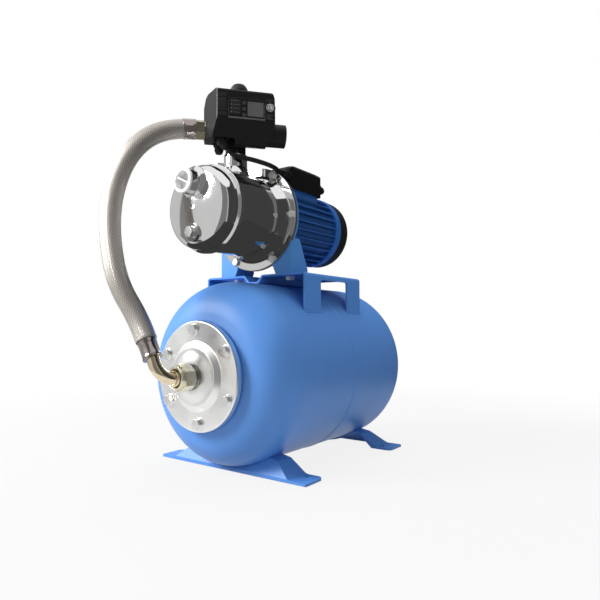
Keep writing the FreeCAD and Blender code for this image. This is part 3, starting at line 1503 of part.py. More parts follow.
def terminal_box_lid():
    """The lid with bevelled edges and countersunk screw seats."""
    seam = mm.box_seam
    top = mm.box_height
    shoulder = top - mm.box_bevel_height
    wide, front, back, bevel = mm.box_half_width, mm.box_front, mm.box_back, mm.box_bevel

    def at(body):
        return place(body, 0, 0, BOX_TOP_FLAT)

    spans = ((0 - wide - 1, wide + 1), (0 - front - 1, back + 1), (seam, top))
    form = crossed("lid", at, spans, [
        (0 - wide, seam), (wide, seam), (wide, shoulder, 2), (wide - bevel, top, 2),
        (bevel - wide, top, 2), (0 - wide, shoulder, 2)], [
        (0 - front, seam), (back, seam), (back, shoulder, 2), (back - bevel, top, 2),
        (bevel - front, top, 2), (0 - front, shoulder, 2)], box_outline(0))
    hollow = at(new_body("lid_hollow"))
    pad(hollow, "XY_Plane", [box_outline(mm.box_wall + 1)], seam - 1, shoulder)
    pad(hollow, "XY_Plane", [box_outline(mm.box_wall + mm.box_bevel, mm.box_wall)],
        shoulder, top - mm.lid_wall)
    seats = at(new_body("lid_screw_posts"))
    pad(seats, "XY_Plane", [circle(x, y, mm.post_radius) for x, y in post_spots()],
        seam, top - mm.lid_wall)
    bores = at(new_body("lid_screw_bores"))
    head = mm.screw_head + mm.seat_gap
    low = top - mm.box_bevel_height - mm.screw_head_height
    pad(bores, "XY_Plane", [circle(x, y, head) for x, y in post_spots()], low, top + 1)
    pad(bores, "XY_Plane", [circle(x, y, mm.screw_shank + mm.thread_gap) for x, y in post_spots()],
        seam - 1, low)
    blank = combine("Cut", "lid_blank", form, combine("Cut", "lid_core", hollow, seats))
    keep(combine("Cut", "terminal_box_lid", blank, bores))
    screw = new_body("lid_screw")
    pad(screw, "XY_Plane", [circle(0, 0, mm.screw_shank)], 0 - low + mm.box_floor + 5, 0)
    pad(screw, "XY_Plane", [circle(0, 0, mm.screw_head)], 0, mm.screw_head_height)
    pocket(screw, "XY_Plane", [box(-2.4, 2.4, -0.5, 0.5)], 1.2, mm.screw_head_height + 1)
    group("lid_screws", screw, [
        Placement(Vector(x.value, y.value, (BOX_TOP_FLAT + low).value), Rotation())
        for x, y in post_spots()])


def box_contents():
    floor = mm.box_floor + mm.seat_gap
    high = floor + mm.capacitor_radius
    capacitor = place(new_body("capacitor"), 0 - mm.capacitor_length / 2, 0 - mm.capacitor_front,
                      BOX_TOP_FLAT + high, Rotation(Vector(0, 1, 0), 90))
    radius = mm.capacitor_radius
    turn(capacitor, [(0, 0), (radius, 0, 1.5), (radius, mm.capacitor_length, 1.5),
                     (0, mm.capacitor_length)])
    keep(capacitor)
    block = place(new_body("terminal_block"), 0, 0, BOX_TOP_FLAT)
    half = mm.block_width / 2
    low = 0 - mm.capacitor_front + radius + 4
    pad(block, "XY_Plane", [box(0 - half, half, low, low + mm.block_depth, 1)],
        floor, floor + mm.block_height)
    poles = [0 - half + mm.block_width * share for share in (0.1, 0.3, 0.5, 0.7, 0.9)]
    pocket(block, "XY_Plane", [circle(x, low + mm.block_depth / 2, 2.2) for x in poles],
           floor + mm.block_height - 5, floor + mm.block_height + 1)
    keep(block)


# Controller


TURN_SIN = math.sin(math.radians(SIZES["controller_turn"]))
TURN_COS = math.cos(math.radians(SIZES["controller_turn"]))


def controller_spot(along, out, up):
    """A place by its distance along the pipe, out through the panel and up."""
    along, out = size(along), size(out)
    return (along * TURN_COS + out * TURN_SIN, PIPE_Y + along * TURN_SIN - out * TURN_COS, PIPE_Z + up)


def on_controller(body, along=0, out=0, up=0):
    return place(body, *controller_spot(along, out, up), rotation=CONTROLLER)


PIPE_AXIS = CONTROLLER.multiply(Rotation(Vector(0, 1, 0), 90))


def cable_glands():
    original = new_body("cable_gland")
    thread, hexa, length = mm.gland_thread, mm.gland_hex, mm.gland_length
    turn(original, [
        (mm.gland_bore, 0 - mm.box_wall), (thread, 0 - mm.box_wall), (thread, 0), (mm.gland_dome, 0),
        (mm.gland_dome, length * 0.7), (mm.gland_mouth, length), (mm.gland_bore, length)])
    pad(original, "XY_Plane", [hexagon(mm.gland_across), circle(0, 0, thread)], 0, hexa)
    x = mm.gland_x.value
    front = Vector(x, -mm.box_front.value, (BOX_TOP_FLAT + mm.front_gland_height).value)
    rear = Vector(x, mm.box_back.value, (BOX_TOP_FLAT + mm.rear_gland_height).value)
    turns = (Rotation(Vector(0, 0, 1), gland_direction()), Rotation(Vector(1, 0, 0), 180))
    lower = [Placement(Vector(*[c.value for c in spot]), way) for spot, way in zip(gland_roots(), turns)]
    group("cable_glands", original, [Placement(front, AGAINST_Y), Placement(rear, ALONG_Y)] + lower)


def gland_roots():
    """Where the controller's two glands leave the top of its notch."""
    up = 0 - mm.notch_top - 3.4
    return [controller_spot(mm.gland_reach * -1, 23, up), controller_spot(2 - mm.gland_reach * 1.1, 2, up)]


def gland_direction():
    lean = math.radians(SIZES["controller_gland_lean"])
    return Vector(math.sin(lean) * TURN_COS, math.sin(lean) * TURN_SIN, -math.cos(lean))


def discharge_nipple():
    """The threaded nipple between the discharge port and the controller."""
    low = STUB_TOP - mm.nipple_depth
    top = STUB_TOP + mm.pipe_rise - mm.inlet_drop + mm.inlet_thread
    radius = mm.inlet_bore - mm.nipple_gap
    lower = mm.port_bore - mm.thread_gap
    inner = radius - mm.nipple_wall
    body = place(new_body("discharge_nipple"), 0, PIPE_Y, PUMP_Z)
    turn(body, [(inner, low), (lower, low), (lower, STUB_TOP - mm.seat_gap),
                (radius, STUB_TOP - mm.seat_gap), (radius, top), (inner, top)])
    keep(body)


def controller_flow_body():
    """The tee that water flows through, with a threaded port at each end and a valve chamber."""
    left, right = 0 - mm.tee_left, mm.tee_right
    tube = place(new_body("tee_tube"), 0, PIPE_Y, PIPE_Z, PIPE_AXIS)
    pad(tube, "XY_Plane", [circle(0, 0, mm.tee_radius)], left, right)
    inlet = on_controller(new_body("tee_inlet"))
    pad(inlet, "XY_Plane", [circle(0, 0, mm.inlet_radius)], 0 - mm.inlet_drop, 0)
    bore = place(new_body("tee_bore"), 0, PIPE_Y, PIPE_Z, PIPE_AXIS)
    depth = mm.tee_thread_depth
    turn(bore, [
        (0, left - 1), (mm.port_bore, left - 1), (mm.port_bore, left + depth), (mm.tee_bore, left + depth),
        (mm.tee_bore, right - depth), (mm.port_bore, right - depth), (mm.port_bore, right + 1),
        (0, right + 1)])
    chamber = on_controller(new_body("tee_chamber"))
    low = 0 - mm.inlet_drop
    seat = low + mm.inlet_thread
    turn(chamber, [
        (0, low - 1), (mm.inlet_bore, low - 1), (mm.inlet_bore, seat), (mm.valve_seat, seat),
        (mm.valve_seat, seat + mm.valve_seat_height), (mm.tee_bore, seat + mm.valve_seat_height),
        (mm.tee_bore, 0), (0, 0)])
    keep(combine("Cut", "controller_flow_body", fuse("tee_blank", [tube, inlet]),
                 fuse("tee_hollow", [bore, chamber])))


def check_valve():
    seat = mm.inlet_thread + mm.valve_seat_height - mm.inlet_drop + mm.seat_gap
    body = on_controller(new_body("check_valve"))
    turn(body, [
        (0, seat - mm.poppet_guide_length), (mm.poppet_guide, seat - mm.poppet_guide_length),
        (mm.poppet_guide, seat), (mm.poppet_radius, seat), (mm.poppet_radius, seat + mm.poppet_thickness, 1),
        (0, seat + mm.poppet_thickness + 1)])
    keep(body)


def hose_upper_fitting():
    """The brass end of the hose, screwed into the left port of the controller."""
    face = 0 - mm.tee_left
    end = face - mm.fitting_length
    body = place(new_body("hose_upper_fitting"), 0, PIPE_Y, PIPE_Z, PIPE_AXIS)
    pad(body, "XY_Plane", [hexagon(mm.fitting_across)], end, face - mm.seat_gap)
    pad(body, "XY_Plane", [circle(0, 0, mm.port_bore - mm.thread_gap)],
        face - mm.seat_gap, face + mm.spigot_length)
    pocket(body, "XY_Plane", [circle(0, 0, mm.fitting_bore)], end - 1, face + mm.spigot_length + 1)
    keep(body)


def case_form(label, inset, low, high):
    """The controller's outside between two depths, or with an inset its hollow."""
    w = size(inset)
    front_y, back_y = w - mm.case_front, mm.case_back - w
    top, belly = mm.case_top - w, w - mm.case_belly
    left, right = w - mm.case_left, mm.case_right - w
    side = [(front_y, top, 4), (front_y, 4 + w * 0.25, 2), (w * 0.6 - 30, belly, 8),
            (30 - w * 0.5, w - 12, 6), (back_y, w - 4, 4), (back_y, 28 - w * 0.5, 6),
            (24 - w * 0.5, mm.case_top - 5 - w, 5)]
    corner = () if w.value else (4,)
    front = [(left, top, 9), (right - 10, top, 7), (right, 26 - w * 0.3, 14), (right, 3, 12),
             (40 - w * 0.3, belly, 8), (w * 0.3 - 22, belly, 8), (left, w * 0.3 - 16, 12)]
    plan = [(w * 0.6 - mm.panel_left, front_y, 3), (mm.panel_right - w * 0.8, front_y) + corner,
            (right, w * 0.3 - 22, 8), (right, 16, 8), (50 - w * 0.6, back_y, 6),
            (w * 0.6 - 42, back_y, 6), (left, 16, 8), (left, w * 0.3 - 16, 8)]
    spans = ((left - 1, right + 1), (low, high), (belly - 1, top + 1))
    return crossed(label, on_controller, spans, front, side, plan)


def controller_body():
    """The back half of the housing, round the flow body."""
    split = 0 - mm.case_split
    outside = case_form("case_back", 0, split, mm.case_back + 1)
    inside = case_form("case_back_hollow", mm.cover_wall, split - 1, mm.case_back + 1)
    collar = on_controller(new_body("collar_hole"))
    pad(collar, "XY_Plane", [circle(mm.cap_s, 0 - mm.cap_out, mm.cap_radius + 1.5 + mm.part_gap)],
        mm.case_top - 6 - mm.part_gap, mm.case_top + 1)
    cuts = fuse("case_back_cuts", [inside, collar] + case_holes("back"))
    keep(combine("Cut", "controller_body", outside, cuts))


def case_holes(name):
    """Openings for the pipe ends, the inlet and the notch that the glands hang in."""
    pipe = place(new_body("pipe_hole_" + name), 0, PIPE_Y, PIPE_Z, PIPE_AXIS)
    gap = mm.soft_gap
    pad(pipe, "XY_Plane", [circle(0, 0, mm.tee_radius + gap)], 0 - mm.tee_left - 20, mm.tee_right + 20)
    inlet = on_controller(new_body("inlet_hole_" + name))
    pad(inlet, "XY_Plane", [circle(0, 0, mm.inlet_radius + gap)], 0 - mm.case_top, 0)
    notch = on_controller(new_body("notch_" + name))
    pad(notch, "XY_Plane", [box(0 - mm.notch_left, 0 - mm.notch_right, -36, 8, 3)],
        0 - mm.case_top, 0 - mm.notch_top)
    return [pipe, inlet, notch]


def key_heights():
    return [mm.key_low + mm.key_pitch * k for k in range(3)]


def controller_cover():
    """The front half of the housing, with its panel openings and the posts for the board."""
    split = 0 - mm.case_split
    front = 0 - mm.case_front
    wall = mm.cover_wall
    outside = case_form("case_front", 0, front - 1, split)
    inside = case_form("case_front_hollow", wall, front - 1, split + 1)
    posts = on_controller(new_body("board_posts"))
    corners = [(s, up) for s in (-20, 40) for up in (0, 38)]
    pad(posts, "XZ_Plane", [circle(s, up, 3) for s, up in corners],
        front + wall - 0.5, 0 - mm.board_out)
    collar = on_controller(new_body("cap_collar"))
    pad(collar, "XY_Plane", [circle(mm.cap_s, 0 - mm.cap_out, mm.cap_radius + 1.5)],
        mm.case_top - 6, mm.cap_collar)
    panel = on_controller(new_body("panel_openings"))
    gap = mm.part_gap
    pad(panel, "XZ_Plane", [box(mm.window_left - gap, mm.window_right + gap,
                                mm.window_low - gap, mm.window_top + gap, 1)]
        + [box(mm.key_s - mm.key_width / 2 - mm.key_gap, mm.key_s + mm.key_width / 2 + mm.key_gap,
               up - mm.key_height / 2 - mm.key_gap, up + mm.key_height / 2 + mm.key_gap, 1)
           for up in key_heights()]
        + [circle(mm.button_s, mm.button_up, mm.button_radius + mm.key_gap)],
        front - 1, front + wall + 1)
    hollow = combine("Cut", "case_front_hollowed", inside, posts)
    shell = combine("Cut", "case_front_shell", fuse("case_front_blank", [outside, collar]),
                    fuse("case_front_cuts", [hollow, panel] + case_holes("front")))
    keep(shell, "controller_cover")


def panel_parts():
    front = 0 - mm.case_front
    window = on_controller(new_body("display_window"))
    pad(window, "XZ_Plane", [box(mm.window_left, mm.window_right, mm.window_low, mm.window_top, 1)],
        front + 0.3, front + 0.3 + mm.window_thickness)
    keep(window)
    inner = front + mm.cover_wall + mm.key_gap
    for name, up in zip(("key_down", "key_set", "key_up"), key_heights()):
        key = on_controller(new_body(name))
        half, tall = mm.key_width / 2, mm.key_height / 2
        pad(key, "XZ_Plane", [box(mm.key_s - half, mm.key_s + half, up - tall, up + tall, 0.8)],
            front - mm.key_proud, inner)
        pad(key, "XZ_Plane", [box(mm.key_s - half - 1, mm.key_s + half + 1,
                                  up - tall - 0.8, up + tall + 0.8)], inner, inner + mm.key_flange)
        keep(key)
    button = place(new_body("reset_button"), *controller_spot(mm.button_s, mm.case_front, mm.button_up),
                   rotation=CONTROLLER.multiply(AGAINST_Y))
    low = 0 - mm.cover_wall - mm.key_gap
    turn(button, [(0, low - 1), (mm.button_radius + 0.5, low - 1), (mm.button_radius + 0.5, low),
                  (mm.button_radius, low), (mm.button_radius, mm.key_proud, 0.6), (0, mm.key_proud + 0.4)])
    keep(button)
    board = on_controller(new_body("circuit_board"))
    pad(board, "XZ_Plane", [box(0 - mm.board_left, mm.board_right, 0 - mm.board_low, mm.board_top, 2)],
        0 - mm.board_out, 0 - mm.board_out + mm.board_thickness)
    keep(board)
    dome = on_controller(new_body("membrane_cap"), mm.cap_s, mm.cap_out, mm.cap_collar)
    radius, wall = mm.cap_radius, mm.cap_wall
    turn(dome, [
        (radius, 0), (radius, 3, 1.5), (radius - 2, 8, 4), (radius * 0.6, radius - 1, 5),
        (0, radius - 0.5), (0, radius - 0.5 - wall), (radius * 0.5, radius - 1 - wall, 4),
        (radius - wall - 2, 7, 3), (radius - wall, 0)])
    keep(dome)


tank_front_shell()
tank_rear_shell()
tank_membrane()
counter_flange()
flange_bolts()
tank_connector()
hose_elbow()
lower_ferrule()
feet()
pump_bracket()
pump_foot_bolts()
air_valve()
casing_form = pump_casing()
suction_stub(casing_form)
suction_cap()
discharge_stub(casing_form)
plugs()
casing_bolts()
ejector_nozzle()
diffuser_venturi()
impeller()
seals()
motor_bracket()
motor_housing()
stator()
rotor()
rear_shield()
cooling_fan()
fan_cover()
motor_foot()
terminal_box()
terminal_box_lid()
box_contents()
cable_glands()
discharge_nipple()
controller_flow_body()
check_valve()
hose_upper_fitting()
controller_body()
controller_cover()
panel_parts()

ferrule_end = mm.elbow_rise + mm.ferrule_length + mm.seat_gap
hose_last = 0 - mm.tee_left - mm.fitting_length - mm.seat_gap
cord("braided_hose", [on_hose_line(ferrule_end), on_hose_line(ferrule_end + mm.hose_first_run)] + HOSE_ROUTE
     + [controller_spot(hose_last - mm.hose_last_run, 0, 0), controller_spot(hose_last, 0, 0)],
     mm.hose_radius)
root_spot = Vector(*[c.value for c in gland_roots()[0]])
gland_end = mm.gland_length.value + mm.seat_gap.value
cable_start = [tuple(root_spot + gland_direction() * (gland_end + run)) for run in (0, 12)]
cable_front = 0 - mm.box_front - mm.gland_length - mm.seat_gap
cable_height = BOX_TOP_FLAT + mm.front_gland_height
cord("interconnect_cable", cable_start + CABLE_ROUTE
     + [(mm.gland_x, cable_front - 10, cable_height + 1), (mm.gland_x, cable_front, cable_height)],
     mm.cable_radius)

doc.recompute()
faults = []
for item in doc.Objects:
    if any(word in item.State for word in ("Invalid", "Error")):
        faults.append("%s (%s): %s" % (item.Label, item.Name, item.State))
for node in nodes:
    if node.Shape.isNull() or not node.Shape.isValid() or not node.Shape.Solids:
        faults.append("%s has no valid solid" % node.Label)
if faults:
    raise RuntimeError("\n".join(faults))
os.makedirs("parts", exist_ok=True)
for node in nodes:
    node.Shape.exportStep("parts/%s.step" % node.Label)
print(len(nodes), "nodes written")
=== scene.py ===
import math

import bmesh
import bpy
from mathutils import Matrix, Vector


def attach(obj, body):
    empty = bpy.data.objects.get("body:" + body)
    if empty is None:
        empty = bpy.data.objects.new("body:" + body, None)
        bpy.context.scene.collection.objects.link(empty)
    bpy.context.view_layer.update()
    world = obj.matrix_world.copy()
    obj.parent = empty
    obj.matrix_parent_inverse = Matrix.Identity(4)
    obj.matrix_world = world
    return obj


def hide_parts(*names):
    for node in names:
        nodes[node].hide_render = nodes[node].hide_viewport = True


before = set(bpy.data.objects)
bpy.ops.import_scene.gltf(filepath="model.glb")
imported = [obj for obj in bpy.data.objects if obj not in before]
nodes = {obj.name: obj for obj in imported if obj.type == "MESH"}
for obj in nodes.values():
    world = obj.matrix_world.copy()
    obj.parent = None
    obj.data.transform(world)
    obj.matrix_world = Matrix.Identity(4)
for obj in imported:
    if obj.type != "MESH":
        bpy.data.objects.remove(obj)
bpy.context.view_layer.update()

scene = bpy.context.scene
print("frame loaded,", len(nodes), "nodes")

camera = {
    "place": (0.55195, -0.7241, 0.21327),
    "azimuth": 35.87,  # degrees that it looks to the left of +Y
    "pitch": 2.55,  # degrees that it looks up
    "roll": 0.06,  # degrees
    "lens": 32.165,
    "sensor": 36,
    "clip": (0.01, 60),
}


# The matrix of an object at a place, from its own three axes.
def framed(right, up, back, place):
    turn = Matrix((right, up, back)).transposed().to_4x4()
    return Matrix.Translation(place) @ turn


def addCamera():
    turn = math.radians(camera["azimuth"])
    tilt = math.radians(camera["pitch"])
    data = bpy.data.cameras.new("photoCamera")
    data.lens = camera["lens"]
    data.sensor_width = camera["sensor"]
    data.clip_start, data.clip_end = camera["clip"]
    eye = bpy.data.objects.new("photoCamera", data)
    level = math.cos(tilt)
    ahead = Vector((-math.sin(turn) * level, math.cos(turn) * level, math.sin(tilt)))
    right = ahead.cross(Vector((0, 0, 1))).normalized()
    right = Matrix.Rotation(math.radians(camera["roll"]), 3, ahead) @ right
    eye.matrix_world = framed(right, right.cross(ahead), -ahead, camera["place"])
    scene.collection.objects.link(eye)
    scene.camera = eye


addCamera()


# meshes

crease = {  # degrees from which an edge stays sharp
    "plate": 25,
    "sleeve": 28,
    "turned": 35,
}
routeCurve = {
    "order": 3,
    "resolution": 24,
}


def linkMesh(name, mesh, material, smooth=True):
    for face in mesh.polygons:
        face.use_smooth = smooth
    piece = bpy.data.objects.new(name, mesh)
    scene.collection.objects.link(piece)
    mesh.materials.append(material)
    return piece


def meshFrom(name, bm):
    mesh = bpy.data.meshes.new(name)
    bm.to_mesh(mesh)
    bm.free()
    return mesh


# A closed mesh with every face turned outwards, moved by the matrix.
def closedMesh(name, bm, matrix=None):
    bmesh.ops.recalc_face_normals(bm, faces=bm.faces)
    mesh = meshFrom(name, bm)
    if matrix is not None:
        mesh.transform(matrix)
    return mesh


# Faces from one ring of corners to the next.
def bridge(bm, first, second):
    count = len(first)
    faces = []
    for k in range(count):
        j = (k + 1) % count
        faces.append(bm.faces.new((first[k], first[j], second[j], second[k])))
    return faces


# Marks the edges that stay sharp under smooth shading.
def keepSharp(piece, angle):
    bm = bmesh.new()
    bm.from_mesh(piece.data)
    for edge in bm.edges:
        if len(edge.link_faces) == 2:
            edge.smooth = edge.calc_face_angle(0) < math.radians(angle)
    bm.to_mesh(piece.data)
    bm.free()
    return piece


# The smooth line of a route's control points, as a list of points.
def curvePoints(controls):
    data = bpy.data.curves.new("routeLine", "CURVE")
    data.dimensions = "3D"
    data.resolution_u = routeCurve["resolution"]
    spline = data.splines.new("NURBS")
    spline.points.add(len(controls) - 1)
    for point, place in zip(spline.points, controls):
        point.co = (*place, 1)
    spline.order_u = routeCurve["order"]
    spline.use_endpoint_u = True
    line = bpy.data.objects.new("routeLine", data)
    scene.collection.objects.link(line)
    bpy.context.view_layer.update()
    graph = bpy.context.evaluated_depsgraph_get()
    mesh = bpy.data.meshes.new_from_object(line.evaluated_get(graph))
    points = [vertex.co.copy() for vertex in mesh.vertices]
    bpy.data.objects.remove(line)
    bpy.data.meshes.remove(mesh)
    return points


# The same line with its points a step apart.
def evenPoints(points, step):
    lengths = [0]
    for a, b in zip(points, points[1:]):
        lengths.append(lengths[-1] + (b - a).length)
    count = max(2, round(lengths[-1] / step))
    result, at = [], 0
    for k in range(count + 1):
        goal = lengths[-1] * k / count
        while at < len(points) - 2 and lengths[at + 1] < goal:
            at += 1
        share = (goal - lengths[at]) / max(lengths[at + 1] - lengths[at], 1e-9)
        result.append(points[at].lerp(points[at + 1], min(max(share, 0), 1)))
    return result


# A tube along the points, with u round it and v along it in metres. The radius may be a function
# of the distance along it and the angle round it.
def sweep(name, points, radius, material, sides, closed=False):
    bm = bmesh.new()
    layer = bm.loops.layers.uv.new("UVMap")
    count = len(points)
    rings, distances, distance = [], [], 0
    across = (points[1] - points[0]).normalized().orthogonal().normalized()
    for i, point in enumerate(points):
        if closed:
            ahead = points[(i + 1) % count] - points[i - 1]
        else:
            ahead = points[min(i + 1, count - 1)] - points[max(i - 1, 0)]
        ahead.normalize()
        across = (across - ahead * across.dot(ahead)).normalized()
        upward = ahead.cross(across)
        if i:
            distance += (point - points[i - 1]).length
        ring = []
        for k in range(sides):
            angle = 2 * math.pi * k / sides
            wide = radius(distance, angle) if callable(radius) else radius
            outward = across * math.cos(angle) + upward * math.sin(angle)
            ring.append(bm.verts.new(point + outward * wide))
        rings.append(ring)
        distances.append(distance)
    if closed:
        rings.append(rings[0])
        distances.append(distance + (points[0] - points[-1]).length)
    for i, (low, high) in enumerate(zip(distances, distances[1:])):
        for k, face in enumerate(bridge(bm, rings[i], rings[i + 1])):
            corners = ((k, low), (k + 1, low), (k + 1, high), (k, high))
            for loop, (side, along) in zip(face.loops, corners):
                loop[layer].uv = (side / sides, along)
    if not closed:
        bm.faces.new(list(reversed(rings[0])))
        bm.faces.new(rings[-1])
    return linkMesh(name, closedMesh(name, bm), material)


# A closed profile of (radius, height) turned about the matrix's own Z.
def turned(name, profile, matrix, material, steps=64):
    bm = bmesh.new()
    rings = []
    for k in range(steps):
        angle = 2 * math.pi * k / steps
        x, y = math.cos(angle), math.sin(angle)
        rings.append([bm.verts.new((r * x, r * y, h)) for r, h in profile])
    for first, second in zip(rings, rings[1:] + rings[:1]):
        bridge(bm, first, second)
    return keepSharp(linkMesh(name, closedMesh(name, bm, matrix), material), crease["turned"])


# A flat plate with a fine bevel, from an outline of (x, y).
def plate(name, outline, low, high, matrix, material, edge=0.0003):
    bm = bmesh.new()
    base = [bm.verts.new((x, y, low)) for x, y in outline]
    top = [bm.verts.new((x, y, high)) for x, y in outline]
    bm.faces.new(list(reversed(base)))
    lid = bm.faces.new(top)
    bridge(bm, base, top)
    bmesh.ops.bevel(bm, geom=list(lid.edges), offset=edge, segments=2, affect="EDGES", profile=0.5)
    return keepSharp(linkMesh(name, closedMesh(name, bm, matrix), material), crease["plate"])


# The outline of a rectangle with rounded corners.
def roundedBox(low, high, corner, steps=6):
    left, bottom = low[0] + corner, low[1] + corner
    right, top = high[0] - corner, high[1] - corner
    middles = ((right, top, 0), (left, top, 90), (left, bottom, 180), (right, bottom, 270))
    outline = []
    for x, y, start in middles:
        for k in range(steps + 1):
            angle = math.radians(start + 90 * k / steps)
            outline.append((x + corner * math.cos(angle), y + corner * math.sin(angle)))
    return outline


# A frame whose Z points at the front.
def alongY(x, y, z):
    return Matrix.Translation((x, y, z)) @ Matrix.Rotation(math.radians(90), 4, "X")


# materials

def newMaterial(name):
    material = bpy.data.materials.new(name)
    material.use_nodes = True
    tree = material.node_tree
    return material, tree, tree.nodes["Principled BSDF"]


# Adds a node. Inputs are (name or number, value or socket).
def add(tree, kind, inputs=(), **settings):
    node = tree.nodes.new("ShaderNode" + kind)
    for key, value in settings.items():
        setattr(node, key, value)
    for key, value in inputs:
        if isinstance(value, bpy.types.NodeSocket):
            tree.links.new(value, node.inputs[key])
        else:
            node.inputs[key].default_value = value
    return node


def shade(colour, share):
    return (*[min(channel * share, 1) for channel in colour], 1)


def mixColours(tree, factor, first, second):
    ramp = add(tree, "ValToRGB", [("Fac", factor)])
    ramp.color_ramp.elements[0].color = first
    ramp.color_ramp.elements[1].color = second
    return ramp.outputs["Color"]


def objectNoise(tree, scale, detail=3, stretch=(1, 1, 1)):
    coordinates = add(tree, "TexCoord").outputs["Object"]
    mapping = add(tree, "Mapping", [("Vector", coordinates), ("Scale", stretch)])
    return add(tree, "TexNoise", [("Vector", mapping.outputs["Vector"]), ("Scale", scale),
                                  ("Detail", detail)]).outputs["Fac"]


# Bump over the edges rounded by the bevel node.
def bump(tree, shader, height, strength, distance, edge=0):
    inputs = [("Height", height), ("Strength", strength), ("Distance", distance)]
    if edge:
        rounded = add(tree, "Bevel", [("Radius", edge)], samples=4)
        inputs.append(("Normal", rounded.outputs["Normal"]))
    tree.links.new(add(tree, "Bump", inputs).outputs["Normal"], shader.inputs["Normal"])


def variedColour(tree, height, colour, spread):
    return mixColours(tree, height, shade(colour, 1 - spread), shade(colour, 1 + spread))


def variedRoughness(tree, shader, height, low, high):
    span = add(tree, "MapRange", [("Value", height), ("To Min", low), ("To Max", high)])
    tree.links.new(span.outputs["Result"], shader.inputs["Roughness"])


def maths(tree, operation, first, second=0.0, third=0.0):
    return add(tree, "Math", [(0, first), (1, second), (2, third)], operation=operation).outputs[0]


paintLook = {
    "patches": 9,  # scale of the slight patches in the colour
    "spread": 0.05,
    "clouds": 30,  # scale of the shinier and duller clouds
    "shinier": 0.04,
    "duller": 0.05,
    "peelScale": 620,
    "peelHeight": 0.0002,
    # how steeply the painted shade in hollows darkens the colour
    "paintedShadePower": 1.6,
    "edge": 0.0006,
}


# Sprayed or powder-coated paint with a fine orange peel. Given a reach, hollows get painted shade:
# ambient occlusion darkens the colour up to that reach, in metres, from the next wall.
def paint(name, colour, roughness, peel, gloss=0.35, paintedShadeReach=0.0):
    material, tree, shader = newMaterial(name)
    look = paintLook
    tone = variedColour(tree, objectNoise(tree, look["patches"]), colour, look["spread"])
    # Painted shade: ambient occlusion darkens the colour in hollows near a wall.
    if paintedShadeReach:
        hollow = add(tree, "AmbientOcclusion", [("Distance", paintedShadeReach)], samples=8, only_local=True)
        shadeFactor = maths(tree, "POWER", hollow.outputs["AO"], look["paintedShadePower"])
        shadedTone = add(tree, "VectorMath", [(0, tone), ("Scale", shadeFactor)], operation="SCALE")
        tone = shadedTone.outputs["Vector"]
    tree.links.new(tone, shader.inputs["Base Color"])
    variedRoughness(tree, shader, objectNoise(tree, look["clouds"], detail=4),
                    roughness - look["shinier"], roughness + look["duller"])
    shader.inputs["Specular IOR Level"].default_value = gloss
    bump(tree, shader, objectNoise(tree, look["peelScale"], detail=2), peel, look["peelHeight"],
         look["edge"])
    return material


metalLook = {
    "clouds": 0.7,  # scale of the shinier and duller clouds, as a share of the marks' scale
    "shinier": 0.7,  # both as shares of the roughness
    "duller": 1.35,
    "markHeight": 0.0001,
    "edge": 0.0004,
}


# Bare or plated metal. The grain stretches its fine marks along one way, and a dull plating is
# less bare.
def metal(name, colour, roughness, spread=0.06, grain=(1, 1, 1), scale=90, lift=0.05, bare=1.0):
    material, tree, shader = newMaterial(name)
    look = metalLook
    shader.inputs["Metallic"].default_value = bare
    marks = objectNoise(tree, scale, detail=5, stretch=grain)
    tree.links.new(variedColour(tree, marks, colour, spread), shader.inputs["Base Color"])
    clouds = objectNoise(tree, scale * look["clouds"], detail=4, stretch=grain)
    variedRoughness(tree, shader, clouds, roughness * look["shinier"], roughness * look["duller"])
    bump(tree, shader, marks, lift, look["markHeight"], look["edge"])
    return material


plasticLook = {
    "patches": 40,
    "spread": 0.12,
    "clouds": 160,
    "shinier": 0.05,
    "duller": 0.06,
    "grainScale": 2400,
    "grainHeight": 0.0001,
    "softDepth": 0.004,
    "edge": 0.0004,
}


# Moulded plastic or rubber with a fine spark-eroded grain.
def plastic(name, colour, roughness, grain, soft=0.0, gloss=0.4):
    material, tree, shader = newMaterial(name)
    look = plasticLook
    tone = variedColour(tree, objectNoise(tree, look["patches"]), colour, look["spread"])
    tree.links.new(tone, shader.inputs["Base Color"])
    variedRoughness(tree, shader, objectNoise(tree, look["clouds"], detail=4),
                    roughness - look["shinier"], roughness + look["duller"])
    shader.inputs["Specular IOR Level"].default_value = gloss
    if soft:
        shader.inputs["Subsurface Weight"].default_value = soft
        shader.inputs["Subsurface Radius"].default_value = (look["softDepth"],) * 3
    bump(tree, shader, objectNoise(tree, look["grainScale"], detail=2), grain, look["grainHeight"],
         look["edge"])
    return material


braid = {
    "bundles": 24,  # bundles of wire round the hose, each way
    "wires": 6,  # wires in a bundle
    "steepness": 0.7,
    "crown": 0.6,  # under 1 the bundles are flatter on top
    "wireHeight": 0.12,
    "colour": (0.39, 0.365, 0.335),
    # how far the colour swings with the weave's height: painted shade in the gaps, lighter on the
    # tops
    "gapShade": 0.85,
    "clouds": 60,
    "roughness": (0.34, 0.46),
    "lift": 0.55,
    "height": 0.0006,
}
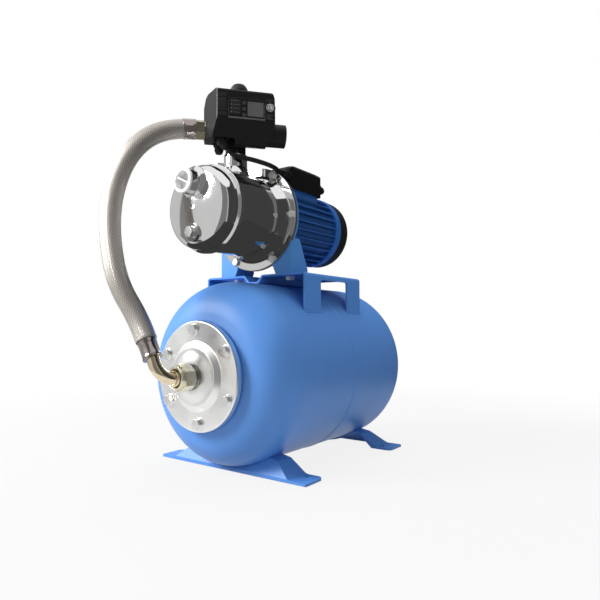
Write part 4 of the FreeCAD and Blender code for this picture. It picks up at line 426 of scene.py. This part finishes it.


# Flat bundles of wire that cross over and under each other, with painted shade in the gaps.
def braidMaterial(around):
    material, tree, shader = newMaterial("steelBraid")
    shader.inputs["Metallic"].default_value = 1
    uv = add(tree, "SeparateXYZ", [("Vector", add(tree, "UVMap", uv_map="UVMap").outputs["UV"])])
    turn = maths(tree, "MULTIPLY", uv.outputs["X"], braid["bundles"])
    run = maths(tree, "MULTIPLY", uv.outputs["Y"], braid["bundles"] * braid["steepness"] / around)
    heights, wires = [], []
    both = (maths(tree, "ADD", turn, run), maths(tree, "SUBTRACT", turn, run))
    for way in both:
        crown = maths(tree, "ABSOLUTE", maths(tree, "SINE", maths(tree, "MULTIPLY", way, math.pi)))
        heights.append(maths(tree, "POWER", crown, braid["crown"]))
        single = maths(tree, "MULTIPLY", way, braid["wires"] * 2 * math.pi)
        wires.append(maths(tree, "SINE", single))
    halves = [maths(tree, "FLOOR", way) for way in both]
    over = maths(tree, "PINGPONG", maths(tree, "ADD", halves[0], halves[1]), 1)
    under = maths(tree, "SUBTRACT", 1.0, over)
    tops = []
    for height, wire, mask in zip(heights, wires, (over, under)):
        fine = maths(tree, "MULTIPLY_ADD", wire, braid["wireHeight"], height)
        tops.append(maths(tree, "MULTIPLY", fine, maths(tree, "MULTIPLY_ADD", mask, 0.5, 0.5)))
    weave = maths(tree, "MAXIMUM", tops[0], tops[1])
    # Painted shade: the colour darkens in the weave's low gaps and lightens on the bundles' tops.
    tree.links.new(variedColour(tree, weave, braid["colour"], braid["gapShade"]),
                   shader.inputs["Base Color"])
    variedRoughness(tree, shader, objectNoise(tree, braid["clouds"]), *braid["roughness"])
    bump(tree, shader, weave, braid["lift"], braid["height"])
    return material


blueFinish = {
    "tank": (0.104, 0.290, 0.73),
    "casting": (0.092, 0.305, 0.70),
    "motor": (0.030, 0.150, 0.50),
}
steelFinish = {
    "polished": (0.80, 0.80, 0.795),
    "zinc": (0.86, 0.865, 0.855),
    "flangeZinc": (0.87, 0.875, 0.86),
    "yellowZinc": (0.78, 0.67, 0.48),
    "paleZinc": (0.84, 0.80, 0.65),
    "crimp": (0.36, 0.315, 0.305),
    "thread": (0.20, 0.20, 0.19),
    "brass": (0.34, 0.31, 0.215),
    "lamination": (0.33, 0.33, 0.34),
    "winding": (0.62, 0.30, 0.13),
}
plasticFinish = {
    "black": (0.011, 0.011, 0.0115),
    "box": (0.010, 0.010, 0.0105),
    "dull": (0.013, 0.013, 0.0135),
    "pane": (0.135, 0.137, 0.140),
    "key": (0.030, 0.030, 0.031),
    "label": (0.022, 0.022, 0.023),
    "mark": (0.075, 0.075, 0.077),
    "rim": (0.13, 0.13, 0.133),
    "white": (0.90, 0.90, 0.89),
    "cream": (0.62, 0.60, 0.54),
    "pump": (0.03, 0.03, 0.032),
    "board": (0.01, 0.12, 0.045),
    "rubber": (0.014, 0.014, 0.014),
    "cable": (0.010, 0.010, 0.010),
}

tankPaint = paint("tankPaint", blueFinish["tank"], 0.42, peel=0.10)
# Painted shade darkens the bracket's channel and hollows.
bracketPaint = paint("bracketPaint", blueFinish["tank"], 0.5, peel=0.10, gloss=0.03, paintedShadeReach=0.02)
castingPaint = paint("castingPaint", blueFinish["casting"], 0.38, peel=0.35)
# Painted shade darkens the gaps between the motor's fins.
motorPaint = paint("motorPaint", blueFinish["motor"], 0.32, peel=0.2, paintedShadeReach=0.012)
polishedSteel = metal("polishedSteel", steelFinish["polished"], 0.07, spread=0.03,
                      grain=(1, 0.06, 1), scale=60, lift=0.02)
turnedSteel = metal("turnedSteel", steelFinish["polished"], 0.2,
                    grain=(1, 1, 8), scale=160, lift=0.06)
zincPlate = metal("zincPlate", steelFinish["flangeZinc"], 0.32, spread=0.08, scale=55)
boltZinc = metal("boltZinc", steelFinish["zinc"], 0.2, spread=0.12, scale=240)
dullZinc = metal("dullZinc", steelFinish["zinc"], 0.3, spread=0.12, scale=240, bare=0.45)
yellowZinc = metal("yellowZinc", steelFinish["yellowZinc"], 0.13, spread=0.14, scale=120, lift=0.04)
paleZinc = metal("paleZinc", steelFinish["paleZinc"], 0.24, spread=0.12, scale=120, lift=0.04)
crimpSteel = metal("crimpSteel", steelFinish["crimp"], 0.17, spread=0.14, scale=150)
threadSteel = metal("threadSteel", steelFinish["thread"], 0.3, spread=0.14, scale=150)
brassMetal = metal("brassMetal", steelFinish["brass"], 0.26, spread=0.14, scale=150)
bearingSteel = metal("bearingSteel", steelFinish["polished"], 0.15, scale=200)
lamination = metal("lamination", steelFinish["lamination"], 0.45, spread=0.35,
                   grain=(0.4, 40, 0.4), scale=20, lift=0.2)
winding = metal("winding", steelFinish["winding"], 0.35, spread=0.25,
                grain=(12, 1, 12), scale=60, lift=0.3)
blackPlastic = plastic("blackPlastic", plasticFinish["black"], 0.34, grain=0.12, gloss=0.22)
boxPlastic = plastic("boxPlastic", plasticFinish["box"], 0.46, grain=0.15, gloss=0.1)
dullPlastic = plastic("dullPlastic", plasticFinish["dull"], 0.5, grain=0.3, gloss=0.25)
paneGloss = plastic("paneGloss", plasticFinish["pane"], 0.15, grain=0.02, gloss=0.2)
keyPlastic = plastic("keyPlastic", plasticFinish["key"], 0.4, grain=0.1, gloss=0.25)
labelPlastic = plastic("labelPlastic", plasticFinish["label"], 0.42, grain=0.1, gloss=0.25)
markPlastic = plastic("markPlastic", plasticFinish["mark"], 0.5, grain=0.1, gloss=0.25)
rimPlastic = plastic("rimPlastic", plasticFinish["rim"], 0.4, grain=0.1, gloss=0.3)
whitePlastic = plastic("whitePlastic", plasticFinish["white"], 0.35, grain=0.06, soft=0.3)
creamPlastic = plastic("creamPlastic", plasticFinish["cream"], 0.45, grain=0.1)
pumpPlastic = plastic("pumpPlastic", plasticFinish["pump"], 0.45, grain=0.1)
boardGreen = plastic("boardGreen", plasticFinish["board"], 0.3, grain=0.1)
blackRubber = plastic("blackRubber", plasticFinish["rubber"], 0.62, grain=0.4)
cableSkin = plastic("cableSkin", plasticFinish["cable"], 0.42, grain=0.2)

nodeMaterials = {
    tankPaint: "tank_front_shell tank_rear_shell front_foot rear_foot",
    bracketPaint: "pump_bracket",
    castingPaint: "motor_bracket",
    motorPaint: "motor_housing rear_shield motor_foot",
    polishedSteel: "pump_casing suction_stub discharge_stub",
    turnedSteel: "discharge_nipple motor_shaft mechanical_seal seal_plate drain_plug priming_plug",
    zincPlate: "counter_flange",
    boltZinc: "flange_bolts lid_screws",
    dullZinc: "casing_bolts pump_foot_bolts",
    yellowZinc: "hose_elbow",
    paleZinc: "tank_connector",
    crimpSteel: "lower_ferrule",
    bearingSteel: "bearings reset_button",
    brassMetal: "hose_upper_fitting air_valve",
    lamination: "stator_core rotor_core",
    winding: "stator_windings",
    blackPlastic: "controller_body controller_cover",
    boxPlastic: "terminal_box terminal_box_lid",
    dullPlastic: "fan_cover cooling_fan cable_glands controller_flow_body air_valve_cap",
    paneGloss: "display_window",
    keyPlastic: "key_up key_down key_set",
    creamPlastic: "terminal_block capacitor",
    pumpPlastic: "ejector_nozzle diffuser_venturi impeller check_valve seal_seat",
    boardGreen: "circuit_board",
    blackRubber: "tank_membrane casing_oring membrane_cap",
}
for material, names in nodeMaterials.items():
    for name in names.split():
        mesh = nodes[name].data
        for slot in range(len(mesh.materials)):
            mesh.materials[slot] = material
print("materials on", sum(len(names.split()) for names in nodeMaterials.values()), "nodes")


# hose and cable

hose = {
    "diameter": 0.0284,
    "route": [
        (-0.0266, -0.2690, 0.1914), (-0.0405, -0.2700, 0.2180), (-0.063, -0.288, 0.266),
        (-0.079, -0.2895, 0.320), (-0.088, -0.285, 0.372), (-0.089, -0.272, 0.423),
        (-0.084, -0.252, 0.463), (-0.074, -0.2255, 0.4905), (-0.0553, -0.1938, 0.5047),
        (-0.0386, -0.1738, 0.5047)],
    "step": 0.002,
    "sides": 48,
    "sleeve": 0.020,  # length of the crimped sleeve at the controller
    "sleeveStep": 0.001,
    "sleeveSides": 60,
    "sleeveRadius": 0.0150,
    "sleeveFlats": 10,
    "sleeveLip": 0.0030,  # round stretch at each end of the sleeve
    "sleeveEnd": 0.0045,
    "pressed": 0.8,  # 1 is flat between the sleeve's corners and 0 is round
    "unpressed": 0.1,
}
cable = {
    "diameter": 0.007,
    "route": [
        (0.0071, -0.1551, 0.4719), (0.0112, -0.1504, 0.4645), (0.0205, -0.1405, 0.4600),
        (0.0315, -0.129, 0.4580), (0.042, -0.117, 0.4545), (0.047, -0.102, 0.4525),
        (0.0460, -0.087, 0.4515), (0.042, -0.0771, 0.4505), (0.042, -0.0671, 0.4500)],
    "step": 0.0012,
    "sides": 20,
}


# Flat sides pressed on to the hose, between two round ends.
def sleeveRadius(distance, angle):
    flat = 2 * math.pi / hose["sleeveFlats"]
    inFlat = angle % flat - flat / 2
    middle = hose["sleeveLip"] < distance < hose["sleeve"] - hose["sleeveEnd"]
    flatness = hose["pressed"] if middle else hose["unpressed"]
    return hose["sleeveRadius"] * (math.cos(flat / 2) / math.cos(inFlat)) ** flatness


def makeHose():
    radius = hose["diameter"] / 2
    points = evenPoints(curvePoints(hose["route"]), hose["step"])
    material = braidMaterial(2 * math.pi * radius)
    tube = sweep("braidedHoseCover", points, radius, material, hose["sides"])
    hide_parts("braided_hose")
    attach(tube, "pump_set")
    last = evenPoints(points, hose["sleeveStep"])[-round(hose["sleeve"] / hose["sleeveStep"]):]
    sleeve = sweep("upperSleeve", last, sleeveRadius, crimpSteel, hose["sleeveSides"])
    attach(keepSharp(sleeve, crease["sleeve"]), "pump_set")


def makeCable():
    points = evenPoints(curvePoints(cable["route"]), cable["step"])
    tube = sweep("motorCable", points, cable["diameter"] / 2, cableSkin, cable["sides"])
    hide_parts("interconnect_cable")
    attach(tube, "pump_set")


makeHose()
makeCable()
print("hose and cable made")


# controller panel

controller = {
    "turn": 50,  # degrees that its front looks to the right of the tank's front
    "axis": (0, -0.1278),
    "height": 0.5047,
    "front": 0.050,  # from the pipe's middle to the cover's face
}


# X runs along the panel, Y up and Z out of it.
def panelMatrix():
    turn = math.radians(controller["turn"])
    along = Vector((math.cos(turn), math.sin(turn), 0))
    out = Vector((math.sin(turn), -math.cos(turn), 0))
    place = Vector((*controller["axis"], controller["height"])) + out * controller["front"]
    return framed(along, Vector((0, 0, 1)), out, place)


panel = {  # places are (along, up) from the pipe's middle, on the front of the controller
    "back": -0.0002,  # plates and bars start this far inside the cover
    "rimLow": (-0.0165, 0.0048),
    "rimHigh": (0.0370, 0.0330),
    "rimCorner": 0.002,
    "rimRadius": 0.0006,
    "rimSides": 8,
    "ledge": ((-0.0172, 0.0034), (0.0362, 0.0054)),  # clear of the lowest key
    "ledgeThick": 0.0009,
    "stile": ((0.0352, 0.0052), (0.0362, 0.0270)),
    "stileThick": 0.0006,
    "labels": [((-0.0148, 0.0095), (0.0010, 0.0315)), ((-0.0312, 0.0335), (-0.0195, 0.0395)),
               ((-0.0312, 0.0130), (-0.0195, 0.0320)), ((-0.0312, 0.0062), (-0.0195, 0.0115)),
               ((0.0380, 0.0305), (0.0485, 0.0360))],
    "labelThick": 0.0003,
    "labelCorner": 0.001,
    "lampRows": [0.0122, 0.0178, 0.0234, 0.0290],
    "lampAt": -0.0128,
    "lamp": [(0.0002, 0.0002), (0.0010, 0.0002), (0.0010, 0.0004), (0.0006, 0.0007),
             (0.0002, 0.0008)],
    "lampSteps": 16,
    "bars": (-0.0105, -0.0008),  # left and right ends
    "barHalf": 0.0006,
    "barThick": 0.0004,
    "barCorner": 0.3,  # share of its width
    "barEdge": 0.0001,
    "noteRows": [(0.0068, 0.0480), (0.0096, 0.0460), (0.0124, 0.0480)],  # height and right end
    "noteLeft": 0.0385,
    "resetPlace": (0.044, 0.0233),
    "resetSeat": [(0.0044, -0.0002), (0.0060, -0.0002), (0.0058, 0.0006), (0.0052, 0.0010),
                  (0.0046, 0.0006)],
    "resetWasher": [(0.0058, -0.0002), (0.0078, -0.0002), (0.0076, 0.0003), (0.0058, 0.0003)],
    "resetSteps": 48,
}
keyMarks = {
    "across": 0.0055,
    "back": 0.0009,  # just inside the keys' faces
    "front": 0.00115,
    "edge": 0.00005,
    "marks": {  # height, corners, degrees of the first corner, size
        "down_key": (0.0090, 3, 270, 0.0016),
        "set_key": (0.01785, 24, 0, 0.00112),
        "up_key": (0.0267, 3, 90, 0.0016),
    },
}


def bar(name, low, high, matrix, material, thick=panel["barThick"]):
    corner = min(high[0] - low[0], high[1] - low[1]) * panel["barCorner"]
    outline = roundedBox(low, high, corner)
    return plate(name, outline, panel["back"], thick, matrix, material, panel["barEdge"])


def rowBar(name, left, right, up, matrix):
    half = panel["barHalf"]
    return bar(name, (left, up - half), (right, up + half), matrix, markPlastic)


# An arrow up, an arrow down and a plain disc on the three keys.
def markKeys(matrix):
    for body, (up, corners, start, size) in keyMarks["marks"].items():
        outline = []
        for k in range(corners):
            angle = math.radians(start + 360 * k / corners)
            x, y = size * math.cos(angle), size * math.sin(angle)
            outline.append((keyMarks["across"] + x, up + y))
        mark = plate(body + "Mark", outline, keyMarks["back"], keyMarks["front"], matrix,
                     rimPlastic, keyMarks["edge"])
        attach(mark, body)


def makePanel():
    matrix = panelMatrix()
    outline = roundedBox(panel["rimLow"], panel["rimHigh"], panel["rimCorner"])
    line = [matrix @ Vector((x, y, 0)) for x, y in outline]
    rim = sweep("panelRim", line, panel["rimRadius"], labelPlastic, panel["rimSides"], closed=True)
    made = [rim]
    made.append(bar("panelLedge", *panel["ledge"], matrix, rimPlastic, panel["ledgeThick"]))
    made.append(bar("panelStile", *panel["stile"], matrix, markPlastic, panel["stileThick"]))
    for number, (low, high) in enumerate(panel["labels"]):
        made.append(plate("labelPlate%d" % number, roundedBox(low, high, panel["labelCorner"]),
                          panel["back"], panel["labelThick"], matrix, labelPlastic))
    for number, up in enumerate(panel["lampRows"]):
        place = matrix @ Matrix.Translation((panel["lampAt"], up, 0))
        made.append(turned("lampLens%d" % number, panel["lamp"], place, rimPlastic,
                           panel["lampSteps"]))
        made.append(rowBar("lampBar%d" % number, *panel["bars"], up, matrix))
    for number, (up, right) in enumerate(panel["noteRows"]):
        made.append(rowBar("noteBar%d" % number, panel["noteLeft"], right, up, matrix))
    place = matrix @ Matrix.Translation((*panel["resetPlace"], 0))
    steps = panel["resetSteps"]
    made.append(turned("resetSeat", panel["resetSeat"], place, turnedSteel, steps))
    made.append(turned("resetWasher", panel["resetWasher"], place, blackRubber, steps))
    for piece in made:
        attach(piece, "pump_set")
    markKeys(matrix)


makePanel()
print("controller panel made")


# steel fittings

tank = {
    "radius": 0.135,
    "height": 0.141,  # of its axis over the floor
}
flange = {  # distances are in front of the tank's middle
    "face": 0.206,
    "bolts": 6,
    "boltCircle": 0.065,
    "boltStart": 93.84,  # degrees
    "collar": [(0.0045, 0), (0.0088, 0), (0.0088, 0.00072), (0.0082, 0.0012), (0.0045, 0.0012)],
    "collarSteps": 32,
    "domeFoot": (0.0392, 0.2124),  # radius and distance
    "domeTop": (0.0186, 0.2162),
    "domeRings": 10,
    "domeSteps": 96,
    "domeBack": (0.2120, 0.2122),  # at its foot and at the boss
    "boss": 0.0175,
    "thread": (0.2166, 0.2213),
    "threadTurns": 4,
    "threadRoot": 0.0001,
    "threadCrest": 0.0005,
    "threadSunk": 0.0004,
}
connector = {  # profiles of (radius, distance in front of the tank's middle)
    "collarRim": [(0.0125, 0.2425), (0.0155, 0.2425), (0.0157, 0.2436), (0.0150, 0.2448),
                  (0.0136, 0.2450), (0.0125, 0.2440)],
    "sealRing": [(0.0108, 0.2428), (0.0128, 0.2428), (0.0128, 0.2434), (0.0108, 0.2434)],
    "elbowRing": [(0.0086, 0.2425), (0.0110, 0.2425), (0.0113, 0.2446), (0.0105, 0.2463),
                  (0.0093, 0.2468), (0.0086, 0.2464)],
}
suctionCap = {
    "height": 0.4089,
    "profile": [(0.0002, 0.2216), (0.01505, 0.2216), (0.01505, 0.2316), (0.0175, 0.2316),
                (0.0175, 0.2338), (0.0172, 0.2344), (0.0166, 0.2346), (0.0133, 0.2346),
                (0.0130, 0.2343), (0.0130, 0.2236), (0.0002, 0.2236)],
    "steps": 96,
    "ribEnd": 0.0132,
    "ribHalf": 0.0008,
    "ribSpan": (0.2235, 0.2336),
    "ribTurn": -26,  # degrees from level
}
ferrule = {
    "start": (-0.01359, -0.269, 0.16886),  # the lower end of the crimped sleeve
    "lean": 30,  # degrees to the left
    "stations": [  # distance from the start, radius, and how flat the sides are pressed
        (0, 0.0132, 0), (0.0018, 0.0132, 0), (0.0026, 0.0125, 0), (0.0032, 0.012125, 0),
        (0.0050, 0.0125, 0.9), (0.0195, 0.0125, 0.9), (0.0210, 0.0129, 0), (0.0250, 0.0129, 0),
        (0.0260, 0.0122, 0)],
    "bore": 0.0086,
    "flats": 8,
    "sides": 48,
}


def makeBoltCollars():
    made = []
    for k in range(flange["bolts"]):
        angle = math.radians(flange["boltStart"] + 360 / flange["bolts"] * k)
        x = flange["boltCircle"] * math.cos(angle)
        z = tank["height"] + flange["boltCircle"] * math.sin(angle)
        made.append(turned("boltCollar%d" % k, flange["collar"], alongY(x, -flange["face"], z),
                           boltZinc, flange["collarSteps"]))
    return made


# From its foot the dome rises softly to the boss.
def domeProfile():
    foot, top = flange["domeFoot"], flange["domeTop"]
    profile = []
    for k in range(flange["domeRings"] + 1):
        share = k / flange["domeRings"]
        ease = share * share * (3 - 2 * share)
        profile.append((foot[0] + (top[0] - foot[0]) * share, foot[1] + (top[1] - foot[1]) * ease))
    footBack, bossBack = flange["domeBack"]
    return profile + [(flange["boss"], top[1]), (flange["boss"], bossBack), (foot[0], footBack)]


def threadProfile():
    start, end = flange["thread"]
    turns, boss = flange["threadTurns"], flange["boss"]
    root, crest = boss + flange["threadRoot"], boss + flange["threadCrest"]
    inside = boss - flange["threadSunk"]
    pitch = (end - start) / turns
    profile = [(inside, start)]
    for k in range(turns):
        profile += [(root, start + pitch * k), (crest, start + pitch * (k + 0.5))]
    return profile + [(root, end), (inside, end)]


def makeFlangeDetails():
    made = makeBoltCollars()
    matrix = alongY(0, 0, tank["height"])
    made.append(turned("flangeDome", domeProfile(), matrix, zincPlate, flange["domeSteps"]))
    made.append(turned("flangeThread", threadProfile(), matrix, threadSteel))
    ringMaterials = {"collarRim": paleZinc, "sealRing": blackRubber, "elbowRing": yellowZinc}
    for name, material in ringMaterials.items():
        made.append(turned(name, connector[name], matrix, material))
    for piece in made:
        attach(piece, "pump_set")


def makeSuctionCap():
    matrix = alongY(0, 0, suctionCap["height"])
    cup = turned("suctionCapCup", suctionCap["profile"], matrix, whitePlastic, suctionCap["steps"])
    end, half = suctionCap["ribEnd"], suctionCap["ribHalf"]
    lean = Matrix.Rotation(math.radians(suctionCap["ribTurn"]), 4, "Z")
    rib = plate("suctionCapRib", [(-end, -half), (end, -half), (end, half), (-end, half)],
                *suctionCap["ribSpan"], matrix @ lean, whitePlastic)
    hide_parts("suction_cap")
    for piece in (cup, rib):
        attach(piece, "port_cap")


# A turned lip, then flat sides pressed on to the hose, then a round end.
def makeLowerSleeve():
    bm = bmesh.new()
    lean = math.radians(ferrule["lean"])
    start = Vector(ferrule["start"])
    axis = Vector((-math.sin(lean), 0, math.cos(lean))).normalized()
    side = axis.orthogonal().normalized()
    other = axis.cross(side)
    sides, flat = ferrule["sides"], 2 * math.pi / ferrule["flats"]
    angles = [2 * math.pi * k / sides for k in range(sides)]
    spokes = [side * math.cos(angle) + other * math.sin(angle) for angle in angles]
    rings = []
    for along, radius, flatness in ferrule["stations"]:
        middle, ring = start + axis * along, []
        for angle, spoke in zip(angles, spokes):
            reach = radius * (math.cos(flat / 2) / math.cos(angle % flat - flat / 2)) ** flatness
            ring.append(bm.verts.new(middle + spoke * reach))
        rings.append(ring)
    length = ferrule["stations"][-1][0]
    for along in (length, 0):
        middle = start + axis * along
        rings.append([bm.verts.new(middle + spoke * ferrule["bore"]) for spoke in spokes])
    rings.append(rings[0])
    for first, second in zip(rings, rings[1:]):
        bridge(bm, first, second)
    sleeve = linkMesh("lowerSleeve", closedMesh("lowerSleeve", bm), crimpSteel)
    keepSharp(sleeve, crease["sleeve"])
    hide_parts("lower_ferrule")
    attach(sleeve, "pump_set")


makeFlangeDetails()
makeSuctionCap()
makeLowerSleeve()
print("flange details, suction cap and hose sleeve made")


# bracket

deckTrough = {  # runs on under the deck to its rear edge, and rests on the tank's top
    "outline": [(-0.0200, 0.2871), (-0.0110, 0.2762), (0.0110, 0.2762), (0.0200, 0.2871),  # x, z
                (0.0160, 0.2871), (0.0086, 0.2791), (-0.0086, 0.2791), (-0.0160, 0.2871)],
    "front": 0.0500,  # distance in front of the tank's middle
    "back": -0.0738,
}


def makeDeckTrough():
    trough = plate("deckTrough", deckTrough["outline"], deckTrough["back"], deckTrough["front"],
                   alongY(0, 0, 0), bracketPaint)
    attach(trough, "pump_set")


makeDeckTrough()
print("deck trough made")


# weld beads

weld = {
    "radius": 0.0015,
    "ripple": 0.10,  # share of the radius
    "longWave": 2100,  # radians in a metre
    "shortWave": 5300,
    "shortShare": 0.6,
    "sides": 10,
    "bracketX": 0.1008,
    "bracketLegs": [(-0.0860, -0.0450), (0.0330, 0.0735)],
    "bracketSteps": 40,
    "footReach": 0.0695,
    "footFaces": [-0.1305, -0.1020, 0.1020, 0.1305],
    "footLift": 0.0004,
    "footSteps": 60,
}


def beadRadius(seed):
    def radius(distance, angle):
        wave = math.sin(distance * weld["longWave"] + seed)
        wave += weld["shortShare"] * math.sin(distance * weld["shortWave"] + 2 * seed)
        return weld["radius"] * (1 + weld["ripple"] * wave)
    return radius


def bracketLine(x, low, high):
    z = tank["height"] + math.sqrt(tank["radius"] ** 2 - x * x)
    steps = weld["bracketSteps"]
    return [Vector((x, low + (high - low) * k / steps, z)) for k in range(steps + 1)]


def footLine(y):
    reach = math.asin(weld["footReach"] / tank["radius"])
    wide = tank["radius"] + weld["footLift"]
    steps = weld["footSteps"]
    points = []
    for k in range(steps + 1):
        angle = reach * (2 * k / steps - 1)
        x, z = wide * math.sin(angle), tank["height"] - wide * math.cos(angle)
        points.append(Vector((x, y, z)))
    return points


def makeWelds():
    lines = []
    for side in (-1, 1):
        for low, high in weld["bracketLegs"]:
            lines.append(("bracketWeld", bracketLine(side * weld["bracketX"], low, high)))
    for y in weld["footFaces"]:
        lines.append(("footWeld", footLine(y)))
    for number, (name, points) in enumerate(lines):
        bead = sweep("%s%d" % (name, number), points, beadRadius(number), tankPaint, weld["sides"])
        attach(bead, "pump_set")


makeWelds()
print("weld beads made")


# studio

studio = {
    "floorColour": (0.42, 0.42, 0.42),
    "floorReach": 20,
    "floorRoughness": 0.9,
    "floorDrop": 0.0005,
    "floorGlow": 0.86,  # share of plain white that the camera sees in the floor near the object
    "floorFade": (0.40, 1.2),  # from here to there, in metres, the floor turns into the backdrop
    "skyDiffuse": 0.29,
    "lamps": [  # place, aim, size, watts
        ((-1.9, -2.2, 1.9), (0, -0.05, 0.25), 1.3, 148),
        ((2.4, -1.6, 1.3), (0, 0, 0.3), 0.9, 11),
        ((-0.1, 0.3, 2.9), (0, 0, 0.3), 1.6, 50),
        ((-1.8, 2.0, 1.4), (0, 0, 0.3), 1.2, 12),
    ],
    "mirroredLamps": 1,  # so many of the lamps show in metal, the rest only give light
    "cardReach": (0.5, 4.5),  # a card lies on the floor from here and stands up there
    "cardLift": 0.001,
    "cardGap": 0.0002,  # each card lies this much over the one before
    "cardStep": 5,  # degrees
    "cards": [  # grey cards that only metal and gloss see: from and to in degrees round from the
                # front towards +X, height in metres, level
        (6, 64, 5.0, 0.21),
        (64, 76, 5.0, 0.50),
        (76, 216, 5.2, 0.055),
        (232, 262, 4.0, 0.16),
        (262, 301, 5.0, 0.62),
        (301, 309, 4.5, 0.25),
        (309, 366, 5.0, 0.66),
    ],
    # Dark cards seen only in gloss: a painted dark reflection in the barrel where the blue pieces
    # would show.
    "darkReflectionCards": [  # dark cards that keep the blue pieces out of the barrel's mirror: corners
        ((-0.10, -0.245, 0.2925), (0.13, -0.245, 0.2925),
         (0.13, -0.030, 0.2925), (-0.10, -0.030, 0.2925)),
        ((0.050, -0.087, 0.2925), (0.13, -0.087, 0.2925),
         (0.13, -0.087, 0.335), (0.050, -0.087, 0.335)),
    ],
    "darkReflectionLevel": 0.045,
}


def aimed(place, target):
    ahead = (Vector(target) - Vector(place)).normalized()
    return Matrix.Translation(place) @ ahead.to_track_quat("-Z", "Y").to_matrix().to_4x4()


def whiteGlow(tree, level):
    return add(tree, "Emission", [("Color", (1, 1, 1, 1)), ("Strength", level)]).outputs[0]


# A plain floor for the light, and white where the camera or a mirror looks at it.
def floorMaterial():
    material, tree, shader = newMaterial("paleFloor")
    shader.inputs["Base Color"].default_value = (*studio["floorColour"], 1)
    shader.inputs["Roughness"].default_value = studio["floorRoughness"]
    light = add(tree, "LightPath")
    seen = maths(tree, "MAXIMUM", light.outputs["Is Camera Ray"], light.outputs["Is Glossy Ray"])
    coordinates = add(tree, "TexCoord").outputs["Object"]
    away = add(tree, "VectorMath", [(0, coordinates)], operation="LENGTH").outputs["Value"]
    near, far = studio["floorFade"]
    fade = add(tree, "MapRange", [("Value", away), ("From Min", near), ("From Max", far),
                                  ("To Min", studio["floorGlow"]), ("To Max", 1.0)],
               interpolation_type="SMOOTHSTEP")
    share = maths(tree, "MULTIPLY", seen, fade.outputs["Result"])
    blend = add(tree, "MixShader", [(0, share), (1, shader.outputs[0]), (2, whiteGlow(tree, 1.0))])
    tree.links.new(blend.outputs[0], tree.nodes["Material Output"].inputs["Surface"])
    return material


def makeFloor():
    bm = bmesh.new()
    bmesh.ops.create_grid(bm, x_segments=8, y_segments=8, size=studio["floorReach"])
    floor = linkMesh("floor", meshFrom("floor", bm), floorMaterial(), False)
    floor.location.z = -studio["floorDrop"]


def makeWorld():
    world = bpy.data.worlds.new("studioWorld")
    scene.world = world
    world.use_nodes = True
    tree = world.node_tree
    tree.nodes.clear()
    light = add(tree, "LightPath")
    seen = maths(tree, "MAXIMUM", light.outputs["Is Camera Ray"], light.outputs["Is Glossy Ray"])
    seen = maths(tree, "MAXIMUM", seen, light.outputs["Is Transmission Ray"])
    strength = add(tree, "MapRange", [("Value", seen), ("To Min", studio["skyDiffuse"]),
                                      ("To Max", 1.0)]).outputs["Result"]
    sky = add(tree, "Background", [("Color", (1, 1, 1, 1)), ("Strength", strength)])
    output = add(tree, "OutputWorld")
    tree.links.new(sky.outputs[0], output.inputs["Surface"])


def makeLamps():
    for number, (place, target, size, watts) in enumerate(studio["lamps"]):
        data = bpy.data.lights.new("softbox%d" % number, "AREA")
        data.size = size
        data.energy = watts
        lamp = bpy.data.objects.new(data.name, data)
        lamp.matrix_world = aimed(place, target)
        lamp.visible_glossy = number < studio["mirroredLamps"]
        scene.collection.objects.link(lamp)


def stageCard(name, bm, level):
    material, tree, shader = newMaterial(name)
    tree.links.new(whiteGlow(tree, level), tree.nodes["Material Output"].inputs["Surface"])
    card = linkMesh(name, meshFrom(name, bm), material, False)
    card.visible_camera = False
    card.visible_diffuse = False
    card.visible_shadow = False


def makeCards():
    near, far = studio["cardReach"]
    for number, (first, last, high, level) in enumerate(studio["cards"]):
        bm = bmesh.new()
        low = studio["cardLift"] + studio["cardGap"] * number
        steps = max(2, round((last - first) / studio["cardStep"]))
        columns = []
        for k in range(steps + 1):
            angle = math.radians(first + (last - first) * k / steps)
            x, y = math.sin(angle), -math.cos(angle)
            spots = ((near, low), (far, low), (far, high))
            columns.append([bm.verts.new((r * x, r * y, z)) for r, z in spots])
        for left, right in zip(columns, columns[1:]):
            for k in range(2):
                bm.faces.new((left[k], right[k], right[k + 1], left[k + 1]))
        stageCard("greyCard%d" % number, bm, level)
    # Dark cards seen only in gloss, making a painted dark reflection under the pump.
    for number, corners in enumerate(studio["darkReflectionCards"]):
        bm = bmesh.new()
        bm.faces.new([bm.verts.new(corner) for corner in corners])
        stageCard("darkReflectionCard%d" % number, bm, studio["darkReflectionLevel"])


makeFloor()
makeWorld()
makeLamps()
makeCards()
scene.view_settings.view_transform = "Standard"
print("studio made")
